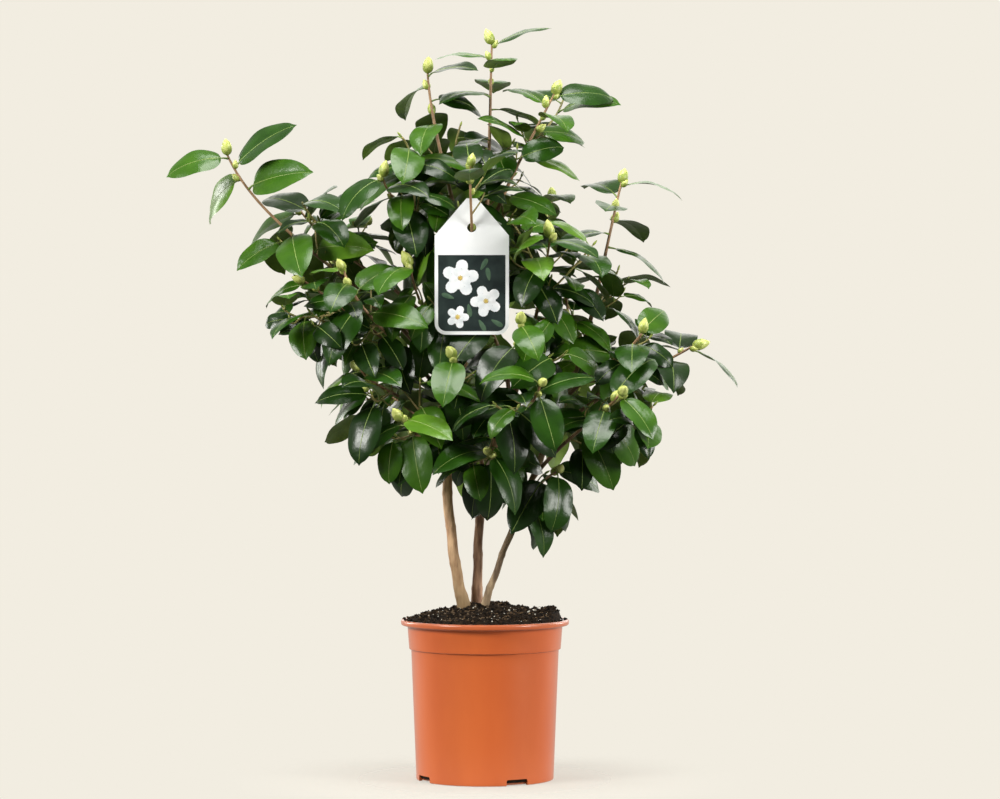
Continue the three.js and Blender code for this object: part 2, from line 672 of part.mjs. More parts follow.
// A limb is cut clear of its parent, and of the limbs before it that leave their parent beside it
const besides = (limb) =>
  limbs
    .slice(0, limbs.indexOf(limb))
    .filter(({ parent, at }) => parent === limb.parent && Math.abs(at - limb.at) < 0.08);
const cutClear = (solid, limb) =>
  largest(wasm.Manifold.difference([solid, ...[limb.parent, ...besides(limb)].map(spaceOf)]));

function leafSolid(leaf) {
  const { base, tip, flat, side, lift, node } = leaf;
  const half = (leaf.look.length * LEAF.shape) / 2;
  const ring = (s, width, depth) => [
    leaf.edge(s, -width),
    leaf.edge(s, width),
    leaf.midrib(s).addScaledVector(flat, -depth),
  ];
  const root = node.clone().addScaledVector(lift, -LEAF.sunk);
  const foot = [
    base.clone().addScaledVector(side, -LEAF.stalk),
    base.clone().addScaledVector(side, LEAF.stalk),
    base.clone().addScaledVector(flat, -1.5 * LEAF.stalk),
  ];
  const rings = [foot, ...LEAF.stations.map((s, i) => ring(s, LEAF.widths[i] * half, LEAF.keel))];
  const points = [root, ...rings.flat(), tip];
  const last = points.length - 1;
  const faces = [];
  for (let i = 0; i < 3; i++) {
    const j = (i + 1) % 3;
    faces.push([0, 1 + j, 1 + i]);
    for (let a = 1; a < last - 3; a += 3) {
      faces.push([a + i, a + j, a + 3 + j], [a + i, a + 3 + j, a + 3 + i]);
    }
    faces.push([last - 3 + i, last - 3 + j, last]);
  }
  const geometry = new THREE.BufferGeometry().setFromPoints(points);
  geometry.setIndex(faces.flat());
  return solidOf(geometry);
}

function budSolid({ at, axis, length, radius }) {
  const shares = [[0, -0.12], [0.95, 0.3], [0.85, 0.66], [0, 1]];
  const profile = shares.map(([r, h]) => new THREE.Vector2(r * radius, h * length));
  const geometry = new THREE.LatheGeometry(profile, BUD.sides);
  geometry.applyQuaternion(new THREE.Quaternion().setFromUnitVectors(new THREE.Vector3(0, 1, 0), axis));
  geometry.translate(at.x, at.y, at.z);
  return solidOf(geometry);
}

const largest = (solid) => solid.decompose().sort((a, b) => b.volume() - a.volume())[0];

function massSolid({ limb, shoots, leaves, buds }) {
  const [main, ...twigs] = shoots;
  const clear = limb.bare > 0 ? GAP / limb.span : 0;
  const bars = [shootBar({ ...main, from: main.from + clear }), ...twigs.map((twig) => shootBar(twig, 0, 3))];
  const whole = wasm.Manifold.union([...bars, ...leaves.map(leafSolid), ...buds.map(budSolid)]);
  return limb.bare > 0 ? largest(whole) : cutClear(whole, limb);
}

const boughSolid = (limb) => cutClear(boughBar(limb), limb);

// The pot is turned on a lathe, then gets its drain slots
function potSolid() {
  const { height, rimRadius, lipHeight, collarRadius, collarHeight } = POT;
  const { bodyRadius, footRadius, wall, floor } = POT;
  const collar = height - collarHeight;
  const lip = height - lipHeight;
  const outside = [
    [0, 0], [footRadius - 1.5, 0], [footRadius, 2], [bodyRadius, collar - 1],
    [collarRadius - 2, collar + 1], [collarRadius, lip - 1],
    [rimRadius, lip + 1], [rimRadius, height - 1], [rimRadius - 1, height],
  ];
  const inside = [
    [collarRadius + wall, height], [collarRadius - wall, lip], [collarRadius - 2 - wall, collar + 2],
    [bodyRadius - wall, collar - 2], [footRadius - wall, floor], [0, floor],
  ];
  const profile = [...outside, ...inside].map(([r, z]) => new THREE.Vector2(r, z));
  const shell = solidOf(new THREE.LatheGeometry(profile, POT.sides).rotateX(Math.PI / 2));
  const slots = Array.from({ length: DRAIN.count }, (_, i) => {
    const bearing = radians(DRAIN.bearing + (360 / DRAIN.count) * i);
    const box = new THREE.BoxGeometry(DRAIN.width, DRAIN.depth, 2 * DRAIN.height);
    box.translate(0, -footRadius, 0);
    box.rotateZ(bearing);
    return solidOf(box);
  });
  return wasm.Manifold.difference([shell, ...slots]);
}

// The soil fills the pot and is heaped round the stems, with a crumbly top
function soilSolid() {
  const { wall, floor, height, footRadius, bodyRadius, collarRadius, collarHeight, lipHeight } = POT;
  const random = makeRandom(SOIL.seed);
  const away = GAP + 0.5; // the lathe's flat sides lie inside the round wall
  const foot = footRadius - wall - away;
  const waist = bodyRadius - wall - away;
  const brim = collarRadius - 2 - wall - away;
  const sides = [
    [0, floor + GAP], [foot, floor + GAP], [waist, height - collarHeight - 3],
    [brim - 0.6, height - collarHeight + 3], [brim + 1, height - lipHeight],
  ];
  const ring = (i) => [((brim + 1) * (SOIL.rings - 1 - i)) / SOIL.rings, height];
  const top = Array.from({ length: SOIL.rings }, (_, i) => ring(i));
  const profile = [...sides, ...top].map(([r, z]) => new THREE.Vector2(r, z));
  const geometry = new THREE.LatheGeometry(profile, SOIL.sectors).rotateX(Math.PI / 2);
  geometry.deleteAttribute("normal");
  geometry.deleteAttribute("uv");
  const merged = mergeVertices(geometry, 1e-3);
  const position = merged.attributes.position;
  for (let i = 0; i < position.count; i++) {
    if (position.getZ(i) < height - 1) continue;
    const [x, y] = [position.getX(i), position.getY(i)];
    position.setZ(i, soilTop(x, y) + between(random, -SOIL.lump, SOIL.lump));
  }
  const heap = solidOf(merged);
  const holes = Object.keys(STEMS).map((name) => {
    const { curve, radiusAt } = skeleton[name];
    return bar(curve, -GAP / lengthOf(curve, 0, 1), 0.25, (t) => radiusAt(t) + 1.2 * GAP, 8, 3);
  });
  return largest(wasm.Manifold.difference([heap, ...holes]));
}

function tagSolid() {
  const shape = tagOutline();
  const hole = new THREE.Path();
  hole.absarc(0, 0, TAG.holeRadius, 0, 2 * Math.PI, true);
  shape.holes.push(hole);
  const flat = { depth: TAG.thickness, bevelEnabled: false, curveSegments: 5 };
  const plate = new THREE.ExtrudeGeometry(shape, flat);
  plate.translate(0, 0, -TAG.thickness / 2);
  plate.rotateX(Math.PI / 2);
  plate.translate(tagAt.x, tagAt.y, tagAt.z);
  return solidOf(plate);
}

// The scene graph: one named mesh for each piece
const shrub = new THREE.Group();
const add = (name, solid, finish) => {
  const mesh = new THREE.Mesh(geometryOf(solid), finish);
  mesh.name = name;
  shrub.add(mesh);
};

add("pot", potSolid(), terracotta);
add("soil", soilSolid(), peat);
add("tag", tagSolid(), card);
for (const name of Object.keys(STEMS)) add(name, stemBar(skeleton[name]), bark);
for (const mass of masses) {
  if (mass.limb.bare > 0) add(`bough_${mass.limb.name}`, boughSolid(mass.limb), youngBark);
  add(`leaves_${mass.limb.name}`, massSolid(mass), foliage);
}

export default shrub;
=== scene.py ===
import functools
import math
from types import SimpleNamespace as Facts

import bpy
import numpy as np
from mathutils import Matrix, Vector, noise


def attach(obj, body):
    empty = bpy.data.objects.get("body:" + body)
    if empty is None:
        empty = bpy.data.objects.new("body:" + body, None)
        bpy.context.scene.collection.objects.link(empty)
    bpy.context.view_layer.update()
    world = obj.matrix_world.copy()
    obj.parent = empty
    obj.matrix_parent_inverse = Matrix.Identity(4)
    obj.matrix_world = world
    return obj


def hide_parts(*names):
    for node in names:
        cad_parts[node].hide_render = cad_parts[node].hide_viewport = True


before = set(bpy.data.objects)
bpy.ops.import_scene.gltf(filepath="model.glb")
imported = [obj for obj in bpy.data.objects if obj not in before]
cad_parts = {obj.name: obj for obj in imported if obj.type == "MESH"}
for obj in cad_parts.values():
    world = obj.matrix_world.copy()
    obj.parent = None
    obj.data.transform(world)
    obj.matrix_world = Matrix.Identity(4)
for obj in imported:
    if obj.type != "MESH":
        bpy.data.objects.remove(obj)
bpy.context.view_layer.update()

# Driving dimensions, the same as in the part's source
POT = Facts(
    height=184.5, rim_radius=97.5, lip_height=7, collar_radius=89.8, collar_height=34,
    body_radius=85.5, foot_radius=79.5, wall=1.8, floor=3,
)
COLLAR_AT = POT.height - POT.collar_height
LIP_AT = POT.height - POT.lip_height
DRAIN = Facts(count=4, bearing=-62, width=27, height=7, depth=12, corner=2.5)
SOIL = Facts(
    foot=6, drop=3, mound=21, mound_spread=52, mound_at=(4, 4), clump=11,
    clump_spread=12, clump_at=(75, -20),
)
TAG = Facts(
    width=84, height=154, slope=42, apex=12, corner=13, thickness=0.8, hole_radius=5.2,
    hole_drop=33, sight=(0, 12, 28, 46, 66), limb="centre_front", at=0.68, gap=0.3,
    bark=1.3,  # how much wider the part's three-sided twig is than a round one
)
LEAF = Facts(
    length=70, shape=0.56, petiole=8, stations=(0.24, 0.68), widths=(0.86, 0.9),
    arch=(0.5, 1.1), level=0.35, sky=(0.4, 0.75, 0.4), youngest=0.93, lengths=(0.88, 1.1),
    pitch=56, pitch_step=6, steps=5, pitch_play=8, turn_play=14, roll_play=20,
    droop=0.12, droop_step=0.03, droop_play=(-0.1, 0.14),
)
BUD = Facts(length=19, radius=5.8, lean=0.45, sizes=(0.8, 1.12))
LEAF_BUD = Facts(scale=0.45, slim=0.55)
HABIT = {"flush": 6, "rest": 20, "divergence": 144, "size": 1}
SHOOT = Facts(tip_radius=1.25, spacing=15, first_leaf=5, foot_room=4, taper=0.8)
BEND = Facts(along=0.55, ahead=0.85, leaving=0.34, arriving=0.3)
TWIG = Facts(
    length=(58, 84), leaves=4, pitch=48, radius=(1.5, 1.25), part=(0.14, 0.62),
    spread=(0.3, 0.7), turn=72, gap=2, rods=4, swings=(0, 40, -40, 80, -80, 130, -130),
    lift=0.18, rise=50, rise_lost=40,
)
CLEARANCE = Facts(leaf=3, limb=1.5, near=8)
RODS = Facts(count=10, limb_from=0.08, twig_from=0.12)  # the straight rods that stand for a shoot
ROOM = 118  # a mass keeps within this distance of its own stem
GOLDEN = 137.5
TURN_PLAY = 20

# The three stems: foot, the two points that bend them, fork, and the radii at foot and fork
STEMS = {
    "stem_left": ((-23, -7), (-45, -10, 290), (-59, -6, 400), (-17, 5, 500), 6.4, 4.6),
    "stem_middle": ((-9, 9), (-10, 11, 270), (-11, 14, 345), (30, 20, 432), 5.8, 4.3),
    "stem_right": ((-2, -9), (27, -14, 280), (61, -15, 370), (108, -5, 480), 3.9, 3.2),
}
FLARE = Facts(factor=1.32, height=22)

# The limbs: parent, share of its length where they leave it, tip, rise at the tip in degrees, bare share,
# radius, leaves, side twigs, turn of the first leaf, weep, facing to the front, seed, and its own habit
LIMBS = {
    "top_right": ("stem_left", 1, (8, 8, 852), 88, 0.42, 4.2, 9, 0, 100, -0.2, 0.2, 3),
    "top_left": (
        "top_right", 0.07, (-66, -22, 815), 86, 0.38, 3.8, 10, 1, 60, 0, 0.9, 8, {"divergence": 160},
    ),
    "centre_front": ("stem_left", 0.97, (-16, -122, 700), 82, 0.6, 3, 8, 0, 200, -0.7, 0.9, 21),
    "upper_right": ("top_right", 0.32, (80, -8, 792), 62, 0.3, 2.8, 9, 1, 95, -0.35, 0.7, 40),
    "right_top": ("stem_right", 1, (158, -6, 690), 76, 0, 3.3, 7, 1, 75, -0.25, 0.2, 42),
    "right_far": ("stem_right", 0.72, (238, -46, 500), 30, 0.45, 2.9, 4, 0, 80, -0.2, 0, 41),
    "right_shoulder": ("stem_right", 0.86, (178, -84, 514), 50, 0.4, 2.6, 7, 0, 200, 0, 0.9, 9),
    "right_front": ("stem_right", 0.55, (152, -150, 446), 35, 0.4, 2.7, 7, 1, 60, 0.1, 0.5, 12),
    "lower_right": ("stem_right", 0.42, (84, -92, 358), 10, 0, 2.4, 6, 0, 60, 0.5, 0.3, 2),
    "middle_top": ("stem_middle", 1, (74, -92, 622), 70, 0.45, 3.6, 9, 2, 45, 0, 0.5, 17),
    "bud_front": ("stem_middle", 0.86, (62, -178, 456), 40, 0.45, 2.8, 7, 1, 40, 0.4, 0.5, 4),
    "lower_centre": (
        "stem_middle", 0.66, (6, -140, 380), 15, 0, 2.6, 6, 0, 250, 0.4, 0.4, 13, {"divergence": 155},
    ),
    "centre_low": ("stem_middle", 0.93, (40, -134, 524), 65, 0.35, 2.7, 8, 1, 20, 0.3, 0.5, 10),
    "lower_left": ("stem_left", 0.5, (-93, -132, 416), 25, 0.35, 2.8, 7, 1, 285, 0.35, 0.6, 43),
    "left_low": ("stem_left", 0.66, (-142, -88, 474), 45, 0.4, 3, 8, 1, 270, 0.1, 0.4, 15),
    "left_mid": ("stem_left", 0.73, (-158, -112, 584), 70, 0.45, 3.1, 8, 1, 200, 0, 0.4, 16),
    "left_out": ("left_mid", 0.28, (-206, -50, 574), 35, 0.4, 2.5, 8, 1, 235, -0.2, 0.4, 18, {"size": 0.84}),
    "upper_left": (
        "stem_left", 0.785, (-296, -30, 720), 66, 0.5, 3.2, 10, 0, 278, 0.05, 1.3, 36,
        {"divergence": 163, "flush": 4, "size": 1.14, "rest": 44},
    ),
    "left_inner": ("stem_left", 0.92, (-216, 26, 660), 55, 0.5, 2.9, 7, 1, 250, 0, 0.3, 20),
    "left_high": ("top_left", 0.25, (-116, -70, 692), 75, 0, 2.5, 8, 2, 280, 0.25, 0.3, 22),
    "centre_left": ("stem_left", 0.825, (-84, -78, 590), 80, 0, 2.5, 7, 1, 330, 0.3, 0.5, 23),
    "centre_mid": ("stem_left", 0.7, (-34, -118, 486), 45, 0, 2.5, 7, 1, 0, 0.4, 0.4, 24),
    "right_inner": ("stem_right", 0.95, (92, -40, 566), 70, 0, 2.4, 6, 0, 60, 0.3, 0.5, 25),
    "back_left_low": ("stem_left", 0.6, (-134, 128, 462), 35, 0.4, 2.9, 8, 1, 180, 0.3, -0.4, 26),
    "back_left_mid": ("stem_left", 0.85, (-178, 132, 596), 55, 0.45, 3, 8, 2, 180, 0.2, -0.4, 27),
    "back_low": ("stem_middle", 0.6, (-22, 172, 428), 30, 0.35, 2.9, 8, 1, 180, 0.4, -0.4, 28),
    "back_mid": ("stem_middle", 0.98, (-14, 182, 588), 60, 0.45, 3, 8, 2, 180, 0.2, -0.4, 29),
    "back_high": ("top_right", 0.2, (-44, 112, 716), 70, 0, 2.7, 8, 2, 180, 0.1, -0.4, 30),
    "back_right_low": ("stem_middle", 0.8, (128, 142, 430), 35, 0.4, 2.9, 8, 1, 180, 0.4, -0.4, 31),
    "back_right_mid": ("stem_right", 0.66, (180, 124, 496), 45, 0.4, 2.8, 8, 1, 180, 0.3, -0.4, 32),
    "back_right_high": ("top_right", 0.26, (80, 116, 680), 62, 0, 2.6, 8, 1, 180, 0.2, -0.4, 33),
}

# What only the dressed part has
SPUR = Facts(
    every=24, length=(20, 40), leaves=3, pitch=52, radius=(1.15, 0.9), spread=(0.2, 0.5),
    turn=30, gap=1, rods=3, swings=(0, 50, -50, 100, -100, 150, -150),
    leaf_spacing=10, leaf_size=(0.62, 0.88), leaf_gap=1.6, room=80,
    until=0.62, open_until=0.3, seed=500,
)
# The masses where the sky shows, which get fewer spurs
OPEN = ("top_right", "top_left", "upper_left", "upper_right", "right_top", "right_far")
# The chance of a small bud at each tip of a twig or spur and beside each upper leaf, and its least and
# greatest size
SMALL_BUDS = {"twig": (0.75, 0.6, 0.95), "spur": (0.3, 0.45, 0.75), "leaf": (0.7, 0.4, 0.85)}
SMALL_BUD = Facts(gap=0.5, leaves=4, lean=0.55, off=1.2, seed=900)
BLADE = Facts(
    rows=25, columns=9, thickness=0.45, fold=0.2, curl=0.18, veins=6, vein_depth=0.3,
    vein_slant=1.9, tooth=0.14, toothed=(0.15, 0.95), wave=1.2, waves=1.6,
    base=0.46, end=0.955, taper=(0.54, 0.78), tip=1.7, hook=(0.5, 4), bunching=0.45,
    margin=0.25, fold_play=(0.6, 1.3), curl_play=(0.5, 1.6),
    veined_at=8, thick_at=4,  # the half widths from which veins and thickness are full
)
STALK = Facts(places=(0.1, 0.4, 0.7), radii=(1.5, 1.15, 1.0), bend=0.55, sides=5)
RIB = Facts(radius=0.82, taper=0.5, raised=0.32, proud=0.25)
# Leaf tints from dark to light, the tint of the underside, and how tints are dealt out: the choice for each
# shoot, and the chance that the youngest leaf or any leaf is a step fresher, or a step deeper
LEAF_TINTS = ("deep", "mid", "fresh", "bright")
UNDER_OF = {"deep": "dark", "mid": "dark", "fresh": "pale", "bright": "pale"}
TINTING = Facts(spray=(0, 1, 1, 2), youngest=0.5, fresher=0.25, deeper=0.3, seed=1300)
SCALES = Facts(
    count=10, rows=6, columns=5, top=(0.3, 1.0), half_turn=(78, 52), lift=0.55, hug=0.25,
    inner_from=0.45, core=0.93, seed=1700,
)
# The bark's ridges, cracks and swollen nodes in mm along the stem, and the slight bends of the bare stems
BARK = Facts(
    ridge=24, crack=9, crack_share=0.45, nodes=41, node_at=20, node_spread=9,
    node_share=1.1, bend=34, sway=5, calm=30,
)
# How wood is meshed: sides, length of a row, and strength of the bark's relief
WOOD = {"stem": (36, 1.5, 0.42), "bough": (18, 1.8, 0.2), "shoot": (10, 2.5, 0.12), "twig": (6, 3, 0)}
AXIS = 0.05  # the least radius on a lathe
CLOSED = 0.02  # the radius left at the ends of a bar
POT_SIDES = 180
HEAP = Facts(gap=0.4, rings=80, sides=200, coarse=12, fine=4.2, heights=(3.8, 3.2, 1.2), sunk=1.2)
BRIM = POT.collar_radius - POT.wall - 0.5
# Loose bits on the soil: each piece with its look and the angle from which its edges are sharp, then the
# lumps with their count, least and greatest radius from the middle, size with its power, and flatness
BITS = {
    "crumbs": ("peat", 50), "clods": ("coir", 50), "grains": ("perlite", 180), "fibres": ("fibre", 180),
    "chips": ("bark chips", 50),
}
ON_SOIL = (0, BRIM - 2)
ON_RIM = (BRIM - 4, POT.rim_radius - 2)
LUMPS = (
    ("crumbs", 1150, ON_SOIL, (0.75, 1.7), 2, (0.6, 1)),
    ("clods", 420, ON_SOIL, (0.7, 1.45), 2, (0.6, 1)),
    ("crumbs", 300, ON_RIM, (0.7, 1.45), 2, (0.5, 0.8)),
    ("chips", 400, ON_SOIL, (0.6, 1.9), 1, (0.3, 0.6)),
    ("grains", 240, ON_SOIL, (0.4, 1.3), 1, (0.6, 0.9)),
)
FIBRES = 130
# The tag's picture: blossoms as place, size and turn, and the sprig's leaves as place and angle
PICTURE = Facts(
    inset=4, head=22, film=0.12, petals=5, rings=(1, 0.62), width=0.84, eyes=8, eye=(3.2, 1.6), leaf=(15, 7),
    blossoms=((-13, 17, 21, 10), (16, -9, 18, 40), (-16, -27, 13, 70)),
    leaves=((10, 26, 60), (20, 14, 100), (-20, -6, 160), (8, -30, 300), (22, -30, 330), (-4, -12, 280)),
)
MM = 0.001
UP = np.array([0.0, 0.0, 1.0])
FRONT = np.array([0.0, -1.0, 0.0])


# Small helpers
def unit(vector):
    return vector / np.linalg.norm(vector, axis=-1, keepdims=True)


def mix(a, b, t):
    return a + (b - a) * t


def dot(a, b):
    return (a * b).sum(-1)


def turned(a, b, angle):
    """The direction a, turned towards b by an angle in radians."""
    return math.cos(angle) * a + math.sin(angle) * b


def make_random(seed):
    """A seeded row of numbers, the same as in the part's source."""
    state = 7919 * seed + 104729

    def draw(low=0.0, high=1.0):
        nonlocal state
        state = state * 16807 % 2147483647
        return low + (high - low) * (state / 2147483647)

    draw()
    return draw


# Curves of stems, boughs and twigs
class Curve:
    """A cubic Bezier curve."""

    def __init__(self, *points):
        self.points = [np.array(p, float) for p in points]

    def at(self, t):
        t = np.asarray(t, float)[..., None]
        a, b, c, d = self.points
        return a * (1 - t) ** 3 + b * 3 * t * (1 - t) ** 2 + c * 3 * t**2 * (1 - t) + d * t**3

    def course(self, t):
        t = np.asarray(t, float)
        return unit(self.at(t + 0.01) - self.at(t - 0.01))

    def length(self, start=0.0, end=1.0, steps=24):
        path = self.at(np.linspace(start, end, steps + 1))
        return np.linalg.norm(np.diff(path, axis=0), axis=1).sum()


def limb_curve(start, along, tip, rise):
    """It leaves along its parent and arrives at its tip rising by rise degrees."""
    span = np.linalg.norm(tip - start)
    course = unit(tip - start)
    level = np.array([course[0], course[1], 0.0])
    if np.linalg.norm(level) < 0.05:
        level = FRONT
    arrive = unit(turned(unit(level), UP, math.radians(rise)))
    leave = unit(BEND.along * along + BEND.ahead * course)
    return Curve(start, start + BEND.leaving * span * leave, tip - BEND.arriving * span * arrive, tip)


def soil_top(x, y):
    """The heaped soil's height: a mound round the stems and a clump beside it."""

    def fall(at, spread):
        return np.exp(-((x - at[0]) ** 2 + (y - at[1]) ** 2) / (2 * spread**2))

    mound = SOIL.mound * fall(SOIL.mound_at, SOIL.mound_spread)
    clump = SOIL.clump * fall(SOIL.clump_at, SOIL.clump_spread)
    return POT.height - SOIL.drop + mound + clump


# Shoots: each has its owner's name, its curve, the share of it that is bare, its radius, and its growth
def stem_of(name):
    foot, *lean, fork, wide, narrow = STEMS[name]
    curve = Curve((*foot, soil_top(*foot) - SOIL.foot), *lean, fork)
    span = curve.length()

    def radius_at(t):
        flare = 1 + (FLARE.factor - 1) * np.exp(-((t * span / FLARE.height) ** 2))
        return mix(wide, narrow, t) * flare

    return Facts(owner=name, curve=curve, start=1, radius_at=radius_at)


def limb_of(name, parents):
    parent, at, tip, rise, bare, radius, leaves, twigs, turn, weep, face, seed, *own = LIMBS[name]
    trunk = parents[parent].curve
    curve = limb_curve(trunk.at(at), trunk.course(at), np.array(tip, float), rise)

    def radius_at(t):
        return mix(radius, SHOOT.tip_radius, np.maximum(t, 0) ** SHOOT.taper)

    habit = {**HABIT, **(own[0] if own else {})}
    return Facts(
        owner=name, curve=curve, start=bare, radius_at=radius_at, leaves=leaves, twigs=twigs, turn=turn,
        weep=weep, face=face, seed=seed, habit=habit,
    )


def around(course):
    """Directions square to a shoot, the first towards the front as far as the shoot allows."""
    towards = FRONT if abs(course @ FRONT) < 0.85 else UP

    def facing(along, degrees):
        front = unit(towards - dot(towards, along)[..., None] * along)
        side = np.cross(along, front)
        angle = np.radians(degrees)
        return unit(np.cos(angle) * front + np.sin(angle) * side)

    return facing


def course_of(curve, start):
    return unit(curve.at(1) - curve.at(start))


# Distances between segments and triangles, many at once
def segment_gaps(p, q, a, b):
    d, e, r = q - p, b - a, p - a
    dd, ee, de, dr, er = dot(d, d), dot(e, e), dot(d, e), dot(d, r), dot(e, r)
    wide = dd * ee - de * de
    s = np.where(wide > 1e-9, np.clip((de * er - dr * ee) / np.where(wide > 1e-9, wide, 1), 0, 1), 0)
    t = np.clip((de * s + er) / ee, 0, 1)
    s = np.clip((de * t - dr) / dd, 0, 1)
    return np.linalg.norm(r + d * s[..., None] - e * t[..., None], axis=-1)


def face_gaps(p, triangle):
    """The distance from a point to a triangle's inside, or infinity where it lies past an edge."""
    corners = [triangle[..., i, :] for i in range(3)]
    normal = unit(np.cross(corners[1] - corners[0], corners[2] - corners[0]))
    inside = True
    for i in range(3):
        edge = corners[(i + 1) % 3] - corners[i]
        inside = inside & (dot(np.cross(edge, p - corners[i]), normal) >= 0)
    return np.where(inside, np.abs(dot(normal, p - corners[0])), np.inf)


def pierce(p, q, triangle):
    corner = triangle[..., 0, :]
    normal = np.cross(triangle[..., 1, :] - corner, triangle[..., 2, :] - corner)
    hp, hq = dot(normal, p - corner), dot(normal, q - corner)
    crossing = hp * hq <= 0
    share = hp / np.where(hp == hq, 1, hp - hq)
    return crossing & (face_gaps(p + (q - p) * share[..., None], triangle) < np.inf)


def segments_meet(p, q, triangle, room):
    meet = pierce(p, q, triangle) | (face_gaps(p, triangle) < room) | (face_gaps(q, triangle) < room)
    for i in range(3):
        meet = meet | (segment_gaps(p, q, triangle[..., i, :], triangle[..., (i + 1) % 3, :]) < room)
    return meet


def triangles_meet(s, t, room):
    meet = False
    for i in range(3):
        a, b = s[..., i, :], s[..., (i + 1) % 3, :]
        c, d = t[..., i, :], t[..., (i + 1) % 3, :]
        meet = meet | segments_meet(a, b, t, room) | (face_gaps(c, s) < room) | pierce(c, d, s)
    return meet


class Grown:
    """Everything that has grown so far, to keep new leaves and twigs clear of it."""

    def __init__(self):
        self.a = np.empty((0, 3))
        self.b = np.empty((0, 3))
        self.radius = np.empty(0)
        self.owner = np.empty(0, "U40")
        self.family = np.empty(0, "U40")
        self.triangles = np.empty((0, 3, 3))
        self.plate = np.empty(0, int)
        self.centre = np.empty((0, 3))
        self.reach = np.empty(0)

    def add_rod(self, owner, a, b, radius):
        self.a = np.vstack([self.a, a])
        self.b = np.vstack([self.b, b])
        self.radius = np.append(self.radius, radius)
        self.owner = np.append(self.owner, owner)
        self.family = np.append(self.family, owner.split(".")[0])

    def add_rods(self, owner, curve, start, end, radius_at, steps):
        for i in range(steps):
            low, high = mix(start, end, i / steps), mix(start, end, (i + 1) / steps)
            self.add_rod(owner, curve.at(low), curve.at(high), max(radius_at(low), radius_at(high)))

    def add_plate(self, triangles):
        points = triangles.reshape(-1, 3)
        centre = points.mean(0)
        self.triangles = np.concatenate([self.triangles, triangles])
        self.plate = np.append(self.plate, [len(self.reach)] * len(triangles))
        self.centre = np.vstack([self.centre, centre])
        self.reach = np.append(self.reach, np.linalg.norm(points - centre, axis=1).max())


grown = Grown()


def rods_fit(p, q, owner, radius, room):
    """Whether rods from p to q keep clear of all that others own, and of every leaf."""
    others = grown.owner != owner
    gaps = segment_gaps(p, q, grown.a[others], grown.b[others])
    if (gaps < radius + grown.radius[others] + room).any():
        return False
    return not segments_meet(p, q, grown.triangles, radius + room).any()


# Leaves: a stalk, then a blade that arches down along its midrib
class Leaf:
    def __init__(self, node, along, outward, look):
        self.look = look
        self.node = node
        self.along = along
        self.outward = outward
        self.lift = unit(turned(along, outward, look["pitch"]))
        self.course = unit(self.lift - (look["droop"] + look["level"] * self.lift[2]) * UP)
        ahead, up, out = LEAF.sky
        sky = unit(ahead * along + up * UP + out * look["droop"] * outward + look["face"] * FRONT)
        flat = unit(sky - (sky @ self.course) * self.course)
        self.flat = turned(flat, np.cross(self.course, flat), look["roll"])
        self.side = np.cross(self.course, self.flat)
        self.base = node + unit(self.lift + 0.5 * self.course) * (look["petiole"] + look["radius"])
        self.length = look["length"]
        self.half = self.length * LEAF.shape / 2
        self.triangles = self.plates()

    def midrib(self, s):
        turn = self.look["arch"] * np.asarray(s, float)[..., None]
        reach = self.length / self.look["arch"]
        return self.base + reach * np.sin(turn) * self.course - reach * (1 - np.cos(turn)) * self.flat

    def plates(self):
        s1, s2 = LEAF.stations
        w1, w2 = (w * self.half for w in LEAF.widths)
        l1, r1 = self.midrib(s1) - w1 * self.side, self.midrib(s1) + w1 * self.side
        l2, r2 = self.midrib(s2) - w2 * self.side, self.midrib(s2) + w2 * self.side
        tip = self.midrib(1)
        return np.array([[self.node, r1, l1], [l1, r1, r2], [l1, r2, l2], [l2, r2, tip]])


def leaf_fits(leaf, limb, owner, gap, room):
    outline = leaf.triangles.reshape(-1, 3)
    centre = outline.mean(0)
    reach = np.linalg.norm(outline - centre, axis=1).max()
    stem = limb.curve.at(mix(limb.start, 1, np.linspace(0, 1, 5)))
    away = segment_gaps(outline[:, None], outline[:, None] + 0.01 * UP, stem[None, :-1], stem[None, 1:])
    if away.min(1).max() > room:
        return False
    middle, half = (grown.a + grown.b) / 2, np.linalg.norm(grown.b - grown.a, axis=1) / 2
    near = (grown.owner != owner) & (np.linalg.norm(middle - centre, axis=1) <= reach + half + CLEARANCE.near)
    a, b, radius = grown.a[near], grown.b[near], grown.radius[near] + CLEARANCE.limb
    strange = grown.family[near] != owner.split(".")[0]
    if ((segment_gaps(leaf.node, leaf.base, a, b) < radius) & strange).any():
        return False
    if segments_meet(a[:, None], b[:, None], leaf.triangles[None], radius[:, None]).any():
        return False
    close = np.linalg.norm(grown.centre - centre, axis=1) < grown.reach + reach + gap
    others = grown.triangles[close[grown.plate]]
    if not len(others):
        return True
    if triangles_meet(leaf.triangles[:, None], others[None], gap).any():
        return False
    return not segments_meet(leaf.node, leaf.base, others, gap).any()


def leaf_places(shoot, spacing, habit):
    """Where a shoot's leaves sit, from its tip down, with a bare rest between two years' growth."""
    span = shoot.curve.length(shoot.start)
    k = np.arange(shoot.leaves)
    down = SHOOT.first_leaf + spacing * k + habit["rest"] * (k // habit["flush"])
    return 1 - (1 - shoot.start) * down[down < span - SHOOT.foot_room] / span


# A leaf tries a few turns of its stalk, then a smaller size, and is skipped if it still touches something
TRIES = ((0, 1), (22, 1), (-22, 1), (44, 0.95), (-44, 0.95), (0, 0.82), (70, 0.85), (-70, 0.85))


